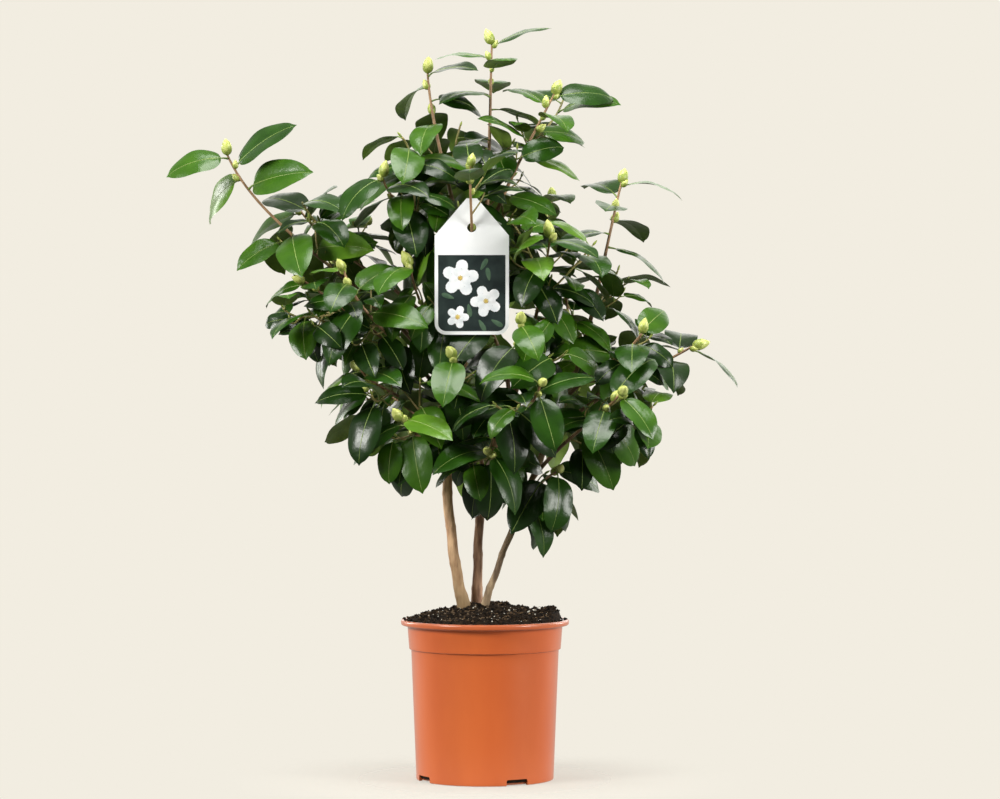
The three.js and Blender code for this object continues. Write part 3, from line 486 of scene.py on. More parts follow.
def grow_leaves(shoot, limb, random, spacing=SHOOT.spacing, size=None, gap=CLEARANCE.leaf, room=ROOM):
    """Leaves of one shoot, by the seeded rule; size gives the least and greatest share of a full leaf."""
    facing = around(course_of(shoot.curve, shoot.start))
    made = []
    for k, t in enumerate(leaf_places(shoot, spacing, limb.habit)):
        along = shoot.curve.course(t)
        node = shoot.curve.at(t)
        turn = shoot.turn + limb.habit["divergence"] * k + random(-LEAF.turn_play, LEAF.turn_play)
        pitch = LEAF.pitch + LEAF.pitch_step * min(k, LEAF.steps)
        length = LEAF.length * limb.habit["size"] * (1 if k else LEAF.youngest)
        look = {
            "pitch": math.radians(pitch + random(-LEAF.pitch_play, LEAF.pitch_play)),
            "droop": limb.weep + LEAF.droop + LEAF.droop_step * k + random(*LEAF.droop_play),
            "roll": math.radians(random(-LEAF.roll_play, LEAF.roll_play)),
            "length": length * random(*LEAF.lengths),
            "arch": random(*LEAF.arch),
            "level": LEAF.level * (1 - limb.weep),
            "face": limb.face,
            "radius": shoot.radius_at(t),
            "petiole": LEAF.petiole,
            "rank": k,
        }
        if size:
            share = random(*size)
            look["length"] *= share
            look["petiole"] *= share
        for swing, scale in TRIES:
            leaf = Leaf(node, along, facing(along, turn + swing), {**look, "length": look["length"] * scale})
            if leaf_fits(leaf, limb, shoot.owner, gap, room):
                made.append(leaf)
                grown.add_plate(leaf.triangles)
                break
    return made


# Buds: plump flower buds at the tips of shoots
class Bud:
    def __init__(self, owner, at, axis, scale):
        self.owner = owner
        self.at = at
        self.axis = axis
        self.length = BUD.length * scale
        self.radius = BUD.radius * scale
        self.tip = at + self.length * axis


def tip_bud(shoot, random, low, high):
    along = shoot.curve.course(1)
    outward = around(along)(along, random(0, 360))
    return Bud(shoot.owner, shoot.curve.at(1), unit(along + BUD.lean * outward), random(low, high))


def keep_bud(bud, gap):
    """The bud in a list, or an empty list if it would touch something."""
    if not rods_fit(bud.at, bud.tip, bud.owner, bud.radius, gap):
        return []
    grown.add_rod(bud.owner, bud.at, bud.tip, bud.radius)
    return [bud]


# Side twigs, and the short spurs that only the dressed part has
def twig_curve(start, along, outward, size, pitch, weep):
    leave = unit(turned(along, outward, math.radians(pitch)))
    tip = start + size * leave + TWIG.lift * size * (1 - weep) * UP
    return limb_curve(start, leave, tip, TWIG.rise - TWIG.rise_lost * weep)


def side_shoots(rule, parent, limb, random, count, share, leafed=None):
    """Side shoots by one rule. Each swings round its parent until it fits and, where asked, has leaves."""
    facing = around(course_of(parent.curve, parent.start))
    radius_at = functools.partial(mix, *rule.radius)
    made = []
    for j in range(count):
        t = mix(parent.start, 1, share(j + random(*rule.spread)))
        along, start = parent.curve.course(t), parent.curve.at(t)
        turn = parent.turn + rule.turn + GOLDEN * j + random(-TURN_PLAY, TURN_PLAY)
        size = random(*rule.length)
        for swing in rule.swings:
            curve = twig_curve(start, along, facing(along, turn + swing), size, rule.pitch, limb.weep)
            path = curve.at(np.linspace(0.25, 1, 4))
            if not rods_fit(path[:-1, None], path[1:, None], parent.owner, rule.radius[0], rule.gap):
                continue
            owner = f"{parent.owner}.{j}"
            growth = {"leaves": rule.leaves, "turn": turn + 90}
            twig = Facts(owner=owner, curve=curve, start=0, radius_at=radius_at, **growth)
            if leafed and not leafed(twig):
                continue
            made.append(twig)
            grown.add_rods(owner, curve, RODS.twig_from, 1, radius_at, rule.rods)
            break
    return made


def grow_twigs(limb, random):
    """The side twigs of one mass, the same as in its solid."""
    return side_shoots(TWIG, limb, limb, random, limb.twigs, lambda x: mix(*TWIG.part, x / limb.twigs))


def grow_spurs(limb, shoot, random):
    """Finer twigs with smaller leaves, and those leaves."""
    span = shoot.curve.length(shoot.start)
    until = SPUR.open_until if limb.owner in OPEN else SPUR.until
    count = int(until * span / SPUR.every) + 1
    rule = SPUR.leaf_spacing, SPUR.leaf_size, SPUR.leaf_gap, SPUR.room
    leaves = []

    def leafed(spur):
        made = grow_leaves(spur, limb, random, *rule)
        leaves.extend(made)
        return made

    spurs = side_shoots(SPUR, shoot, limb, random, count, lambda x: x * SPUR.every / span, leafed)
    return spurs, leaves


# The whole shrub: stems and limbs first, then side twigs and buds, then leaves, then the finer twigs
def tag_place(limbs):
    """The middle of the tag's hole, which hangs on its shoot."""
    limb = limbs[TAG.limb]
    at, along = limb.curve.at(TAG.at), limb.curve.course(TAG.at)
    slot = TAG.bark * limb.radius_at(TAG.at) + along[2] * TAG.thickness / 2
    return at + UP * (slot / abs(along[1]) + TAG.gap - TAG.hole_radius)


def tag_plates(ahead):
    half, top = TAG.width / 2, TAG.hole_drop
    shoulder, foot = top - TAG.slope, top - TAG.height
    corners = ((0, top), (-half, shoulder), (-half, foot), (half, foot), (half, shoulder))
    a, b, c, d, e = (tag_at + np.array([x, -ahead, z]) for x, z in corners)
    return np.array([[a, b, e], [b, c, d], [b, d, e]])


skeleton = {}
for name in STEMS:
    skeleton[name] = stem_of(name)
    grown.add_rods(name, skeleton[name].curve, 0, 1, skeleton[name].radius_at, RODS.count)
for name in LIMBS:
    skeleton[name] = limb_of(name, skeleton)
    grown.add_rods(name, skeleton[name].curve, RODS.limb_from, 1, skeleton[name].radius_at, RODS.count)
stems = [skeleton[name] for name in STEMS]
limbs = [skeleton[name] for name in LIMBS]
tag_at = tag_place(skeleton)
for ahead in TAG.sight:
    grown.add_plate(tag_plates(ahead))

sprays = []
for limb in limbs:
    random = make_random(limb.seed)
    shoots = [limb, *grow_twigs(limb, random)]
    buds = keep_bud(tip_bud(limb, random, *BUD.sizes), CLEARANCE.limb)
    sprays.append(Facts(limb=limb, random=random, shoots=shoots, buds=buds, leaves=[], spurs=[]))
for spray in sprays:
    for shoot in spray.shoots:
        spray.leaves.append(grow_leaves(shoot, spray.limb, spray.random))
for index, spray in enumerate(sprays):
    random = make_random(SPUR.seed + index)
    for shoot in spray.shoots:
        spurs, leaves = grow_spurs(spray.limb, shoot, random)
        spray.spurs += spurs
        spray.leaves.append(leaves)


# Small buds: at the tips of side twigs and spurs, in the angle of the upper leaves, and on the other tips
def small_buds(spray, random):
    made = []
    for kind, shoots in (("twig", spray.shoots[1:]), ("spur", spray.spurs)):
        chance, *sizes = SMALL_BUDS[kind]
        for shoot in shoots:
            if random() < chance:
                made += keep_bud(tip_bud(shoot, random, *sizes), SMALL_BUD.gap)
    chance, *sizes = SMALL_BUDS["leaf"]
    for leaf in spray.leaves[0][:SMALL_BUD.leaves]:
        if random() < chance:
            axis = unit(leaf.along + SMALL_BUD.lean * leaf.outward)
            at = leaf.node + SMALL_BUD.off * leaf.outward
            made.append(Bud(spray.limb.owner, at, axis, random(*sizes)))
    return made


def leaf_bud(shoot):
    """The slim bud that ends a shoot without a flower bud."""
    bud = Bud(shoot.owner, shoot.curve.at(1), shoot.curve.course(1), LEAF_BUD.scale)
    bud.radius *= LEAF_BUD.slim
    return bud


for index, spray in enumerate(sprays):
    spray.buds += small_buds(spray, make_random(SMALL_BUD.seed + index))
    ended = [bud.owner for bud in spray.buds]
    shoots = spray.shoots + spray.spurs
    spray.leaf_buds = [leaf_bud(shoot) for shoot in shoots if shoot.owner not in ended]


# Meshes: grids of points gathered into one piece
class Heap:
    def __init__(self):
        self.points = []
        self.faces = []
        self.count = 0

    def add(self, grid, closed=False, flip=False):
        """Rows of points; closed joins each row's end to its start, and flip turns the faces over."""
        rows, columns = grid.shape[:2]
        i = np.arange(rows - 1)[:, None] * columns
        j = np.arange(columns if closed else columns - 1)[None]
        k = (j + 1) % columns
        quads = np.stack([i + j, i + k, i + k + columns, i + j + columns], -1).reshape(-1, 4)
        self.faces.append((quads[:, [0, 3, 2, 1]] if flip else quads) + self.count)
        self.points.append(grid.reshape(-1, 3))
        self.count += rows * columns

    def mesh(self, name):
        mesh = bpy.data.meshes.new(name)
        mesh.from_pydata(np.concatenate(self.points) * MM, [], np.concatenate(self.faces))
        return mesh

    def piece(self, name, look, slot, nodes=(), sharp=180):
        show(self.mesh(name), name, look, nodes, sharp)


def put(name, data):
    """A new object in the scene."""
    obj = bpy.data.objects.new(name, data)
    bpy.context.scene.collection.objects.link(obj)
    return obj


def bake(obj):
    """The object's finished mesh, without the object."""
    graph = bpy.context.evaluated_depsgraph_get()
    mesh = bpy.data.meshes.new_from_object(obj.evaluated_get(graph))
    bpy.data.objects.remove(obj)
    return mesh


def show(mesh, name, look, nodes=(), sharp=180):
    """Makes a mesh a smooth piece that rides on the part and stands for the given nodes."""
    mesh.polygons.foreach_set("use_smooth", np.ones(len(mesh.polygons), bool))
    if sharp < 180:
        mesh.set_sharp_from_angle(angle=math.radians(sharp))
    mesh.materials.append(look)
    mesh.update()
    obj = put(name, mesh)
    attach(obj, "root")
    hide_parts(*nodes)


def tube(heap, centres, radii, sides, towards, relief=None):
    """A round bar with closed ends; relief gives what it adds to the radius at each row and angle."""
    along = unit(np.gradient(centres, axis=0))
    front = unit(towards - dot(towards, along)[:, None] * along)
    side = np.cross(along, front)
    angle = np.linspace(0, 2 * math.pi, sides, endpoint=False)
    reach = np.repeat(np.asarray(radii, float)[:, None], sides, 1)
    if relief:
        reach = reach + relief(angle)
    ring = np.cos(angle)[None, :, None] * front[:, None] + np.sin(angle)[None, :, None] * side[:, None]
    start = centres[:1, None] + CLOSED * ring[:1]
    end = centres[-1:, None] + CLOSED * ring[-1:]
    heap.add(np.concatenate([start, centres[:, None] + reach[..., None] * ring, end]), closed=True)


# Looks: two close colours as they show on a screen, roughness, and what differs from PLAIN. A patch is the
# number of soft spots to a metre, a grain is its scale and strength, and a film of another colour has the
# heights in metres where it is full and where it is gone.
PLAIN = {"patch": 30, "stretch": (1, 1, 1), "grain": (600, 0.1), "coat": 0, "specular": 0.5}
LEAF_SHINE = {"patch": 45, "grain": (190, 0.3), "coat": 0.04, "specular": 0.34}
UNDERSIDE = {"patch": 60, "grain": (400, 0.25), "specular": 0.3}
STEM_BARK = {"patch": 170, "stretch": (1, 1, 0.2), "grain": (900, 0.6)}
STEM_FILM = {"film": (0.2, 0.285, (124, 104, 68))}
POT_SHINE = {"patch": 14, "stretch": (1, 1, 0.3), "grain": (1400, 0.05), "coat": 0.6}
# The pot's film is partly the plastic's weathering and partly painted sheen: a paler, pinker tint over the
# lip's upper band
LIP_WEAR_AND_SHEEN = {"film": (0.184, 0.178, (198, 108, 70))}
LOOKS = {
    "leaf deep": ((15, 38, 5), (22, 49, 7), 0.28, LEAF_SHINE),
    "leaf mid": ((25, 56, 7), (35, 70, 11), 0.28, LEAF_SHINE),
    "leaf fresh": ((44, 82, 12), (57, 95, 17), 0.28, LEAF_SHINE),
    "leaf bright": ((70, 108, 24), (86, 124, 30), 0.28, LEAF_SHINE),
    # The undersides' colours are partly their own paler green and partly painted glow: lightened to stand in
    # for light shining through the leaf
    "leaf underside dark": ((86, 112, 42), (102, 128, 54), 0.5, UNDERSIDE),
    "leaf underside pale": ((100, 126, 46), (116, 142, 60), 0.5, UNDERSIDE),
    "leaf stalk": ((102, 128, 56), (122, 142, 68), 0.45, {"patch": 80}),
    "bud scales": ((184, 194, 100), (204, 210, 126), 0.38, {"patch": 220}),
    "bud outer scales": ((132, 150, 62), (160, 172, 82), 0.42, {"patch": 220}),
    "stem_left bark": ((240, 200, 156), (174, 130, 96), 0.75, {**STEM_BARK, **STEM_FILM}),
    "stem_middle bark": ((196, 156, 126), (126, 92, 70), 0.75, STEM_BARK),
    "stem_right bark": ((168, 144, 112), (104, 84, 64), 0.75, STEM_BARK),
    "young bark": (
        (148, 116, 88), (106, 82, 60), 0.7, {"patch": 90, "stretch": (1, 1, 0.3), "grain": (900, 0.4)},
    ),
    "shoot bark": ((166, 132, 98), (134, 104, 74), 0.55, {"patch": 70, "grain": (700, 0.25)}),
    "twig bark": ((152, 136, 84), (124, 124, 66), 0.5, {"patch": 70, "grain": (700, 0.2)}),
    "pot plastic": ((215, 107, 50), (205, 97, 44), 0.34, {**POT_SHINE, **LIP_WEAR_AND_SHEEN}),
    "peat": ((52, 40, 28), (13, 10, 7), 0.95, {"patch": 230, "grain": (900, 1), "specular": 0.2}),
    "coir": ((112, 90, 66), (48, 36, 26), 0.9, {"patch": 320, "grain": (900, 0.8), "specular": 0.2}),
    "perlite": ((226, 222, 210), (206, 200, 186), 0.85, {"patch": 400, "grain": (1500, 0.4)}),
    "fibre": ((136, 108, 74), (92, 66, 42), 0.85, {"patch": 200}),
    "bark chips": ((150, 128, 100), (84, 64, 44), 0.85, {"patch": 250}),
    "tag card": ((243, 245, 246), (236, 239, 240), 0.32, {"patch": 40, "grain": (900, 0.03)}),
    "tag panel": ((28, 38, 38), (44, 56, 54), 0.3, {"patch": 60, "grain": (900, 0.03)}),
    "tag petals": ((244, 246, 248), (222, 228, 231), 0.35, {"patch": 90, "grain": (900, 0.05)}),
    "tag eyes": ((214, 190, 96), (196, 168, 78), 0.4, {"patch": 200}),
    "tag sprig": ((84, 108, 84), (66, 92, 72), 0.35, {"patch": 90}),
}
FILM_STRENGTH = 0.85


def linear(*levels):
    """A colour given in 0 to 255, as it looks on a screen."""
    shares = [level / 255 for level in levels]
    return (*(c / 12.92 if c <= 0.04045 else ((c + 0.055) / 1.055) ** 2.4 for c in shares), 1.0)


def set_inputs(node, values):
    for name, value in values.items():
        node.inputs[name].default_value = value


def add_node(tree, kind, values=None):
    node = tree.nodes.new(f"ShaderNode{kind}")
    set_inputs(node, values or {})
    return node


def add_fade(tree, value, start, end):
    """Carries a value from one span to another: start and end each give what goes in and what comes out."""
    spans = {"From Min": start[0], "From Max": end[0], "To Min": start[1], "To Max": end[1]}
    fade = add_node(tree, "MapRange", spans)
    tree.links.new(value, fade.inputs["Value"])
    return fade


def new_material(name, values):
    """A material with its tree and its shader, which has the given values."""
    look = bpy.data.materials.new(name)
    look.use_nodes = True
    tree = look.node_tree
    shader = tree.nodes["Principled BSDF"]
    set_inputs(shader, values)
    return look, tree, shader


@functools.cache
def finish(name):
    """A look from the table: its colours mixed in soft spots, with a fine grain in the surface."""
    colour, other, roughness, own = LOOKS[name]
    facts = {**PLAIN, **own}
    look, tree, shader = new_material(name, {
        "Roughness": roughness, "Coat Weight": facts["coat"], "Coat Roughness": 0.2,
        "Specular IOR Level": facts["specular"],
    })
    link = tree.links.new
    scale = add_node(tree, "Mapping", {"Scale": facts["stretch"]})
    link(add_node(tree, "TexCoord").outputs["Object"], scale.inputs["Vector"])
    spots = add_node(tree, "TexNoise", {"Scale": facts["patch"], "Detail": 4})
    link(scale.outputs["Vector"], spots.inputs["Vector"])
    ramp = add_node(tree, "ValToRGB")
    for stop, place, tint in zip(ramp.color_ramp.elements, (0.35, 0.65), (colour, other)):
        stop.position = place
        stop.color = linear(*tint)
    link(spots.outputs["Fac"], ramp.inputs["Fac"])
    link(ramp.outputs["Color"], shader.inputs["Base Color"])
    fine = add_node(tree, "TexNoise", {"Scale": facts["grain"][0], "Detail": 3})
    link(scale.outputs["Vector"], fine.inputs["Vector"])
    bump = add_node(tree, "Bump", {"Strength": facts["grain"][1], "Distance": MM})
    link(fine.outputs["Fac"], bump.inputs["Height"])
    link(bump.outputs["Normal"], shader.inputs["Normal"])
    if "film" in own:
        add_film(tree, shader, *own["film"])
    return look


def add_film(tree, shader, full, gone, colour):
    """A film of another colour that thins out from one height above the ground to another."""
    link = tree.links.new
    under = shader.inputs["Base Color"].links[0].from_socket
    axes = add_node(tree, "SeparateXYZ")
    link(add_node(tree, "TexCoord").outputs["Object"], axes.inputs[0])
    fade = add_fade(tree, axes.outputs["Z"], (full, FILM_STRENGTH), (gone, 0))
    film = add_node(tree, "Mix")
    film.data_type = "RGBA"
    link(fade.outputs["Result"], film.inputs[0])
    link(under, film.inputs[6])
    film.inputs[7].default_value = linear(*colour)
    link(film.outputs[2], shader.inputs["Base Color"])


# Leaf blades, stalks and midribs
def blade_rows():
    """Places along a blade, closer together towards both ends."""
    steps = np.linspace(0, 1, BLADE.rows)
    return mix(steps, 0.5 - 0.5 * np.cos(math.pi * steps), BLADE.bunching)


def blade_profile(s, taper):
    """Half the width along a blade, 1 at its widest: an oval, more pointed with taper, and a narrow tip."""
    base, end = BLADE.base, BLADE.end
    widest = end**base * (base / (base + taper)) ** base * (taper / (base + taper)) ** taper
    oval = s**base * np.clip(1 - s / end, 0, 1) ** taper / widest * end**base
    tip = BLADE.tip * s**4 * (1 - s) ** 0.85
    return np.sqrt(oval**2 + tip**2)


def spine(leaf, s):
    """The middle of a blade, whose end hooks down, and the direction out of its face."""
    turn = leaf.look["arch"] * s[:, None]
    normal = np.cos(turn) * leaf.flat + np.sin(turn) * leaf.course
    return leaf.midrib(s) - leaf.hook * s[:, None] ** 5 * normal, normal


def add_blade(leaf, tops, unders, random):
    s = blade_rows()[:, None]
    u = np.linspace(-1, 1, BLADE.columns)[None]
    out = np.abs(u)
    taper = random(*BLADE.taper)
    leaf.hook = random(*BLADE.hook)
    profile = blade_profile(s, taper)
    width = leaf.half * profile + BLADE.margin
    first, last = BLADE.toothed
    toothed = (np.arange(BLADE.rows)[:, None] % 2 == 1) & (s > first) & (s < last)
    across = u * width + np.sign(u) * (out == 1) * np.where(toothed, BLADE.tooth, 0)
    fold = BLADE.fold * random(*BLADE.fold_play)
    curl = BLADE.curl * random(*BLADE.curl_play)
    wave = BLADE.wave * np.sin(2 * math.pi * (BLADE.waves * s + random(0, 1))) * u**2 * profile
    vein = np.cos(2 * math.pi * (BLADE.veins * s - BLADE.vein_slant * out * profile))
    relief = BLADE.vein_depth * vein * 4 * out * (1 - out) * np.minimum(1, width / BLADE.veined_at)
    height = width * (fold * out - curl * u**2) + wave + relief
    middle, normal = (part[:, None] for part in spine(leaf, s[:, 0]))
    top = middle + across[..., None] * leaf.side + height[..., None] * normal
    depth = BLADE.thickness * (1 - out**4) * np.minimum(1, width / BLADE.thick_at)
    tops.add(top)
    unders.add(top - depth[..., None] * normal, flip=True)


def add_stalk(leaf, stalks):
    """The stalk, which runs on through the blade as its raised midrib."""
    node, base = leaf.node, leaf.base
    bend = node + STALK.bend * np.linalg.norm(base - node) * leaf.lift
    t = np.array(STALK.places)[:, None]
    stalk = node * (1 - t) ** 2 + bend * 2 * t * (1 - t) + base * t**2
    s = blade_rows()[0:-1:2]
    size = leaf.length / LEAF.length
    radii = np.concatenate([STALK.radii, RIB.radius - RIB.taper * s]) * size
    middle, normal = spine(leaf, s)
    rib = middle + (RIB.raised * (1 - s[:, None]) + RIB.proud - radii[len(t):, None]) * normal
    tube(stalks, np.concatenate([stalk, rib]), radii, STALK.sides, leaf.flat)


def tint_of(leaf, spray_tint, random):
    """Most leaves take their spray's tint, and the youngest are fresher."""
    index = spray_tint + (1 if leaf.look["rank"] == 0 and random() < TINTING.youngest else 0)
    index += (random() < TINTING.fresher) - (random() < TINTING.deeper)
    return LEAF_TINTS[max(0, min(index, len(LEAF_TINTS) - 1))]


def dress_leaves():
    tops = {tint: Heap() for tint in LEAF_TINTS}
    unders = {tint: Heap() for tint in ("dark", "pale")}
    stalks = Heap()
    for number, spray in enumerate(sprays):
        random = make_random(TINTING.seed + number)
        for row in spray.leaves:
            spray_tint = TINTING.spray[int(len(TINTING.spray) * random())]
            for leaf in row:
                tint = tint_of(leaf, spray_tint, random)
                add_blade(leaf, tops[tint], unders[UNDER_OF[tint]], random)
                add_stalk(leaf, stalks)
    masses = [f"leaves_{name}" for name in LIMBS]
    for tint, heap in tops.items():
        heap.piece(f"leaf_tops_{tint}", finish(f"leaf {tint}"), "foliage", masses)
    for tint, heap in unders.items():
        heap.piece(f"leaf_undersides_{tint}", finish(f"leaf underside {tint}"), "foliage", masses)
    stalks.piece("leaf_stalks", finish("leaf stalk"), "foliage", masses)


# Buds with overlapping scales
def ovoid(h):
    """Half the width along a bud with a pointed tip, 1 at its widest."""
    h = np.clip(h, 0, 1)
    return h**0.5 * (1 - h) ** 0.8 / 0.422


def add_core(heap, bud, sides, share=1):
    """A bud's smooth body, with as many rows as sides."""
    h = np.linspace(0.01, 0.99, sides)
    front = around(bud.axis)(bud.axis, 0)
    tube(heap, bud.at + bud.length * h[:, None] * bud.axis, share * bud.radius * ovoid(h), sides, front)


def add_bud(bud, inner, outer, random):
    """A flower bud: short outer scales first, then the inner ones that reach its tip."""
    front = around(bud.axis)(bud.axis, 0)
    side = np.cross(bud.axis, front)
    v = np.linspace(0, 1, SCALES.rows)[:, None]
    u = np.linspace(-1, 1, SCALES.columns)[None]
    start = random(0, 360)
    for i in range(SCALES.count):
        share = i / (SCALES.count - 1)
        h = mix(*SCALES.top, share**0.8) * v
        wide = math.radians(mix(*SCALES.half_turn, share)) * np.sqrt(1 - v**2.6 + 0.002)
        angle = math.radians(start + GOLDEN * i) + u * wide
        lift = SCALES.lift * (1 - share) * mix(0.35, 1, v) - SCALES.hug * u**2
        reach = bud.radius * ovoid(h * 0.97 + 0.015) + lift
        ring = np.cos(angle)[..., None] * front + np.sin(angle)[..., None] * side
        grid = bud.at + reach[..., None] * ring + (bud.length * h)[..., None] * bud.axis
        (inner if share > SCALES.inner_from else outer).add(grid)
    add_core(inner, bud, 8, SCALES.core)


def dress_buds():
    inner, outer = Heap(), Heap()
    for number, spray in enumerate(sprays):
        random = make_random(SCALES.seed + number)
        for bud in spray.buds:
            add_bud(bud, inner, outer, random)
        for bud in spray.leaf_buds:
            add_core(outer, bud, 7)
    inner.piece("bud_scales", finish("bud scales"), "foliage")
    outer.piece("bud_outer_scales", finish("bud outer scales"), "foliage")


# Stems, boughs and twigs with the bark's relief
def bark_relief(along, strength, seed):
    """Long shallow ridges with finer cracks and swollen nodes, as a change of radius."""
    def at(z, angle):
        x, y = math.cos(angle), math.sin(angle)
        ridges = noise.noise(Vector((1.6 * x + seed, 1.6 * y, z / BARK.ridge)))
        cracks = noise.noise(Vector((5.5 * x, 5.5 * y + seed, z / BARK.crack)))
        off = (z + 4 * ridges + 11 * seed) % BARK.nodes - BARK.node_at
        node = math.exp(-(off**2) / BARK.node_spread)
        return strength * (ridges + BARK.crack_share * cracks + BARK.node_share * node)

    return lambda angles: np.array([[at(z, angle) for angle in angles] for z in along])


def crooked(curve, t, span, strength, seed):
    """The curve with the slight bends of wood that grew from node to node."""
    z = t * span
    bend = np.zeros((len(z), 3))
    for axis, shift in enumerate((0.5, 7.5)):
        bend[:, axis] = [noise.noise(Vector((seed + shift, 0.3, d / BARK.bend))) for d in z]
    fade = np.clip(np.minimum(z, z[-1] - z) / BARK.calm, 0, 1)
    return curve.at(t) + BARK.sway * strength * fade[:, None] * bend


def add_limb(heap, kind, shoot, start, end, seed=0):
    sides, pitch, strength = WOOD[kind]
    curve = shoot.curve
    span = curve.length(start, end)
    t = np.linspace(start, end, max(4, int(span / pitch)))
    relief = bark_relief((t - start) / (end - start) * span, strength, seed) if strength else None
    course = course_of(curve, 0)
    path = crooked(curve, t, span, strength, seed) if kind == "stem" else curve.at(t)
    tube(heap, path, shoot.radius_at(t), sides, around(course)(course, 0), relief)


def dress_wood():
    for number, stem in enumerate(stems):
        bark = Heap()
        add_limb(bark, "stem", stem, 0, 1, 3.1 * number)
        bark.piece(f"{stem.owner}_bark", finish(f"{stem.owner} bark"), "bark", [stem.owner])
    boughs, shoots, twigs = Heap(), Heap(), Heap()
    for number, limb in enumerate(limbs):
        if limb.start > 0:
            add_limb(boughs, "bough", limb, 0, limb.start, 1.7 * number)
        add_limb(shoots, "shoot", limb, limb.start, 1, 2.3 * number)
    for spray in sprays:
        for twig in spray.shoots[1:] + spray.spurs:
            add_limb(twigs, "twig", twig, 0, 1)
    nodes = [f"bough_{limb.owner}" for limb in limbs if limb.start > 0]
    boughs.piece("boughs_bark", finish("young bark"), "bark", nodes)
    shoots.piece("shoots", finish("shoot bark"), "bark")
    twigs.piece("twigs", finish("twig bark"), "bark")


# The pot: turned on a lathe, with its drain slots cut out
def rounded(profile, radii):
    """The profile with each corner swept by its radius."""
    made = []
    for i, (point, radius) in enumerate(zip(profile, radii)):
        point = np.array(point, float)
        if not radius:
            made.append(point)
            continue
        before = np.array(profile[i - 1], float) - point
        after = np.array(profile[i + 1], float) - point
        a = point + unit(before) * min(radius, 0.45 * np.linalg.norm(before))
        b = point + unit(after) * min(radius, 0.45 * np.linalg.norm(after))
        made += [a * (1 - t) ** 2 + point * 2 * t * (1 - t) + b * t**2 for t in np.linspace(0, 1, 5)]
    return np.array(made)


def lathe(profile, sides):
    angle = np.linspace(0, 2 * math.pi, sides, endpoint=False)
    radius, height = profile[:, :1], profile[:, 1:]
    return np.stack([radius * np.cos(angle), radius * np.sin(angle), height + 0 * angle], -1)


def pot_profile():
    """The pot's section from the middle of its underside, up its outside and down its inside."""
    wall, floor, height = POT.wall, POT.floor, POT.height
    foot, body, neck, rim = POT.foot_radius, POT.body_radius, POT.collar_radius, POT.rim_radius
    # each corner: radius and height in the pot, and the radius that rounds it
    corners = (
        (AXIS, 0, 0), (foot - 9, 0, 1), (foot - 8, 1, 1), (foot - 4, 1, 0.5), (foot - 3.4, 0, 0.5),
        (foot, 0, 0.9), (body, COLLAR_AT - 0.4, 0.4), (neck - 2, COLLAR_AT, 0.6),
        (neck - 1.7, COLLAR_AT + 4, 1), (neck, LIP_AT - 0.4, 0.8), (rim - 1.4, LIP_AT + 0.6, 0.6),
        (rim - 0.3, LIP_AT + 1.6, 0.8), (rim, height - 1.8, 1), (rim - 1.4, height - 0.2, 0.8),
        (rim - 3, height, 1), (neck - 0.6, height - 2.4, 1.5), (neck - wall, LIP_AT - 2, 2),
        (neck - 2 - wall, COLLAR_AT + 2, 1), (body - wall, COLLAR_AT - 2, 1), (foot - wall, floor, 2),
        (AXIS, floor, 0),
    )
    profile = rounded([corner[:2] for corner in corners], [corner[2] for corner in corners])
    # rows up the wall keep the cuts at its foot from spoiling its shine
    low, high = np.array((foot, 0)), np.array((body, COLLAR_AT - 0.4))
    rows = [mix(low, high, share) for share in (0.035, 0.06, 0.12, 0.3, 0.6, 0.9)]
    after = int(np.argmax((profile[:, 1] > 20) & (profile[:, 0] > foot - 5)))
    return np.insert(profile, after, rows, axis=0)


def drain_cutter():
    """Blocks through the foot of the wall, each with two rounded upper corners."""
    heap = Heap()
    half, height = DRAIN.width / 2, DRAIN.height
    corners = [(-half, -5), (-half, height), (half, height), (half, -5), (-half, -5)]
    outline = rounded(corners, [0, DRAIN.corner, DRAIN.corner, 0, 0])
    middle = outline.mean(0)
    for i in range(DRAIN.count):
        bearing = math.radians(DRAIN.bearing + 360 / DRAIN.count * i)
        ahead = np.array([math.sin(bearing), -math.cos(bearing), 0])
        side = np.array([math.cos(bearing), math.sin(bearing), 0])
        rows = []
        for depth, share in ((-0.5, 0.001), (-0.5, 1), (0.5, 1), (0.5, 0.001)):
            shape = middle + share * (outline[:-1] - middle)
            centre = (POT.foot_radius + depth * DRAIN.depth) * ahead
            rows.append(centre + shape[:, :1] * side + shape[:, 1:] * UP)
        heap.add(np.array(rows), closed=True, flip=True)
    return put("drain_cutter", heap.mesh("drain cutter"))


def dress_pot():
    heap = Heap()
    heap.add(lathe(pot_profile(), POT_SIDES), closed=True)
    blank = put("pot_blank", heap.mesh("pot blank"))
    cutter = drain_cutter()
    cut = blank.modifiers.new("drain", "BOOLEAN")
    cut.operation = "DIFFERENCE"
    cut.solver = "EXACT"
    cut.object = cutter
    shell = bake(blank)
    bpy.data.objects.remove(cutter)
    show(shell, "pot_shell", finish("pot plastic"), ["pot"], sharp=35)


# The soil: a heap with a crumbly top, and loose crumbs, clods, chips, white grains and fibres on it
def soil_height(x, y):
    coarse = Vector((x / HEAP.coarse, y / HEAP.coarse, 0.7))
    fine = Vector((x / HEAP.fine, y / HEAP.fine, 4.1))
    high, low, least = HEAP.heights
    lumps = high * noise.noise(coarse) + low * abs(noise.noise(fine)) + least * noise.noise(2.6 * fine)
    return float(soil_top(x, y)) + lumps - HEAP.sunk


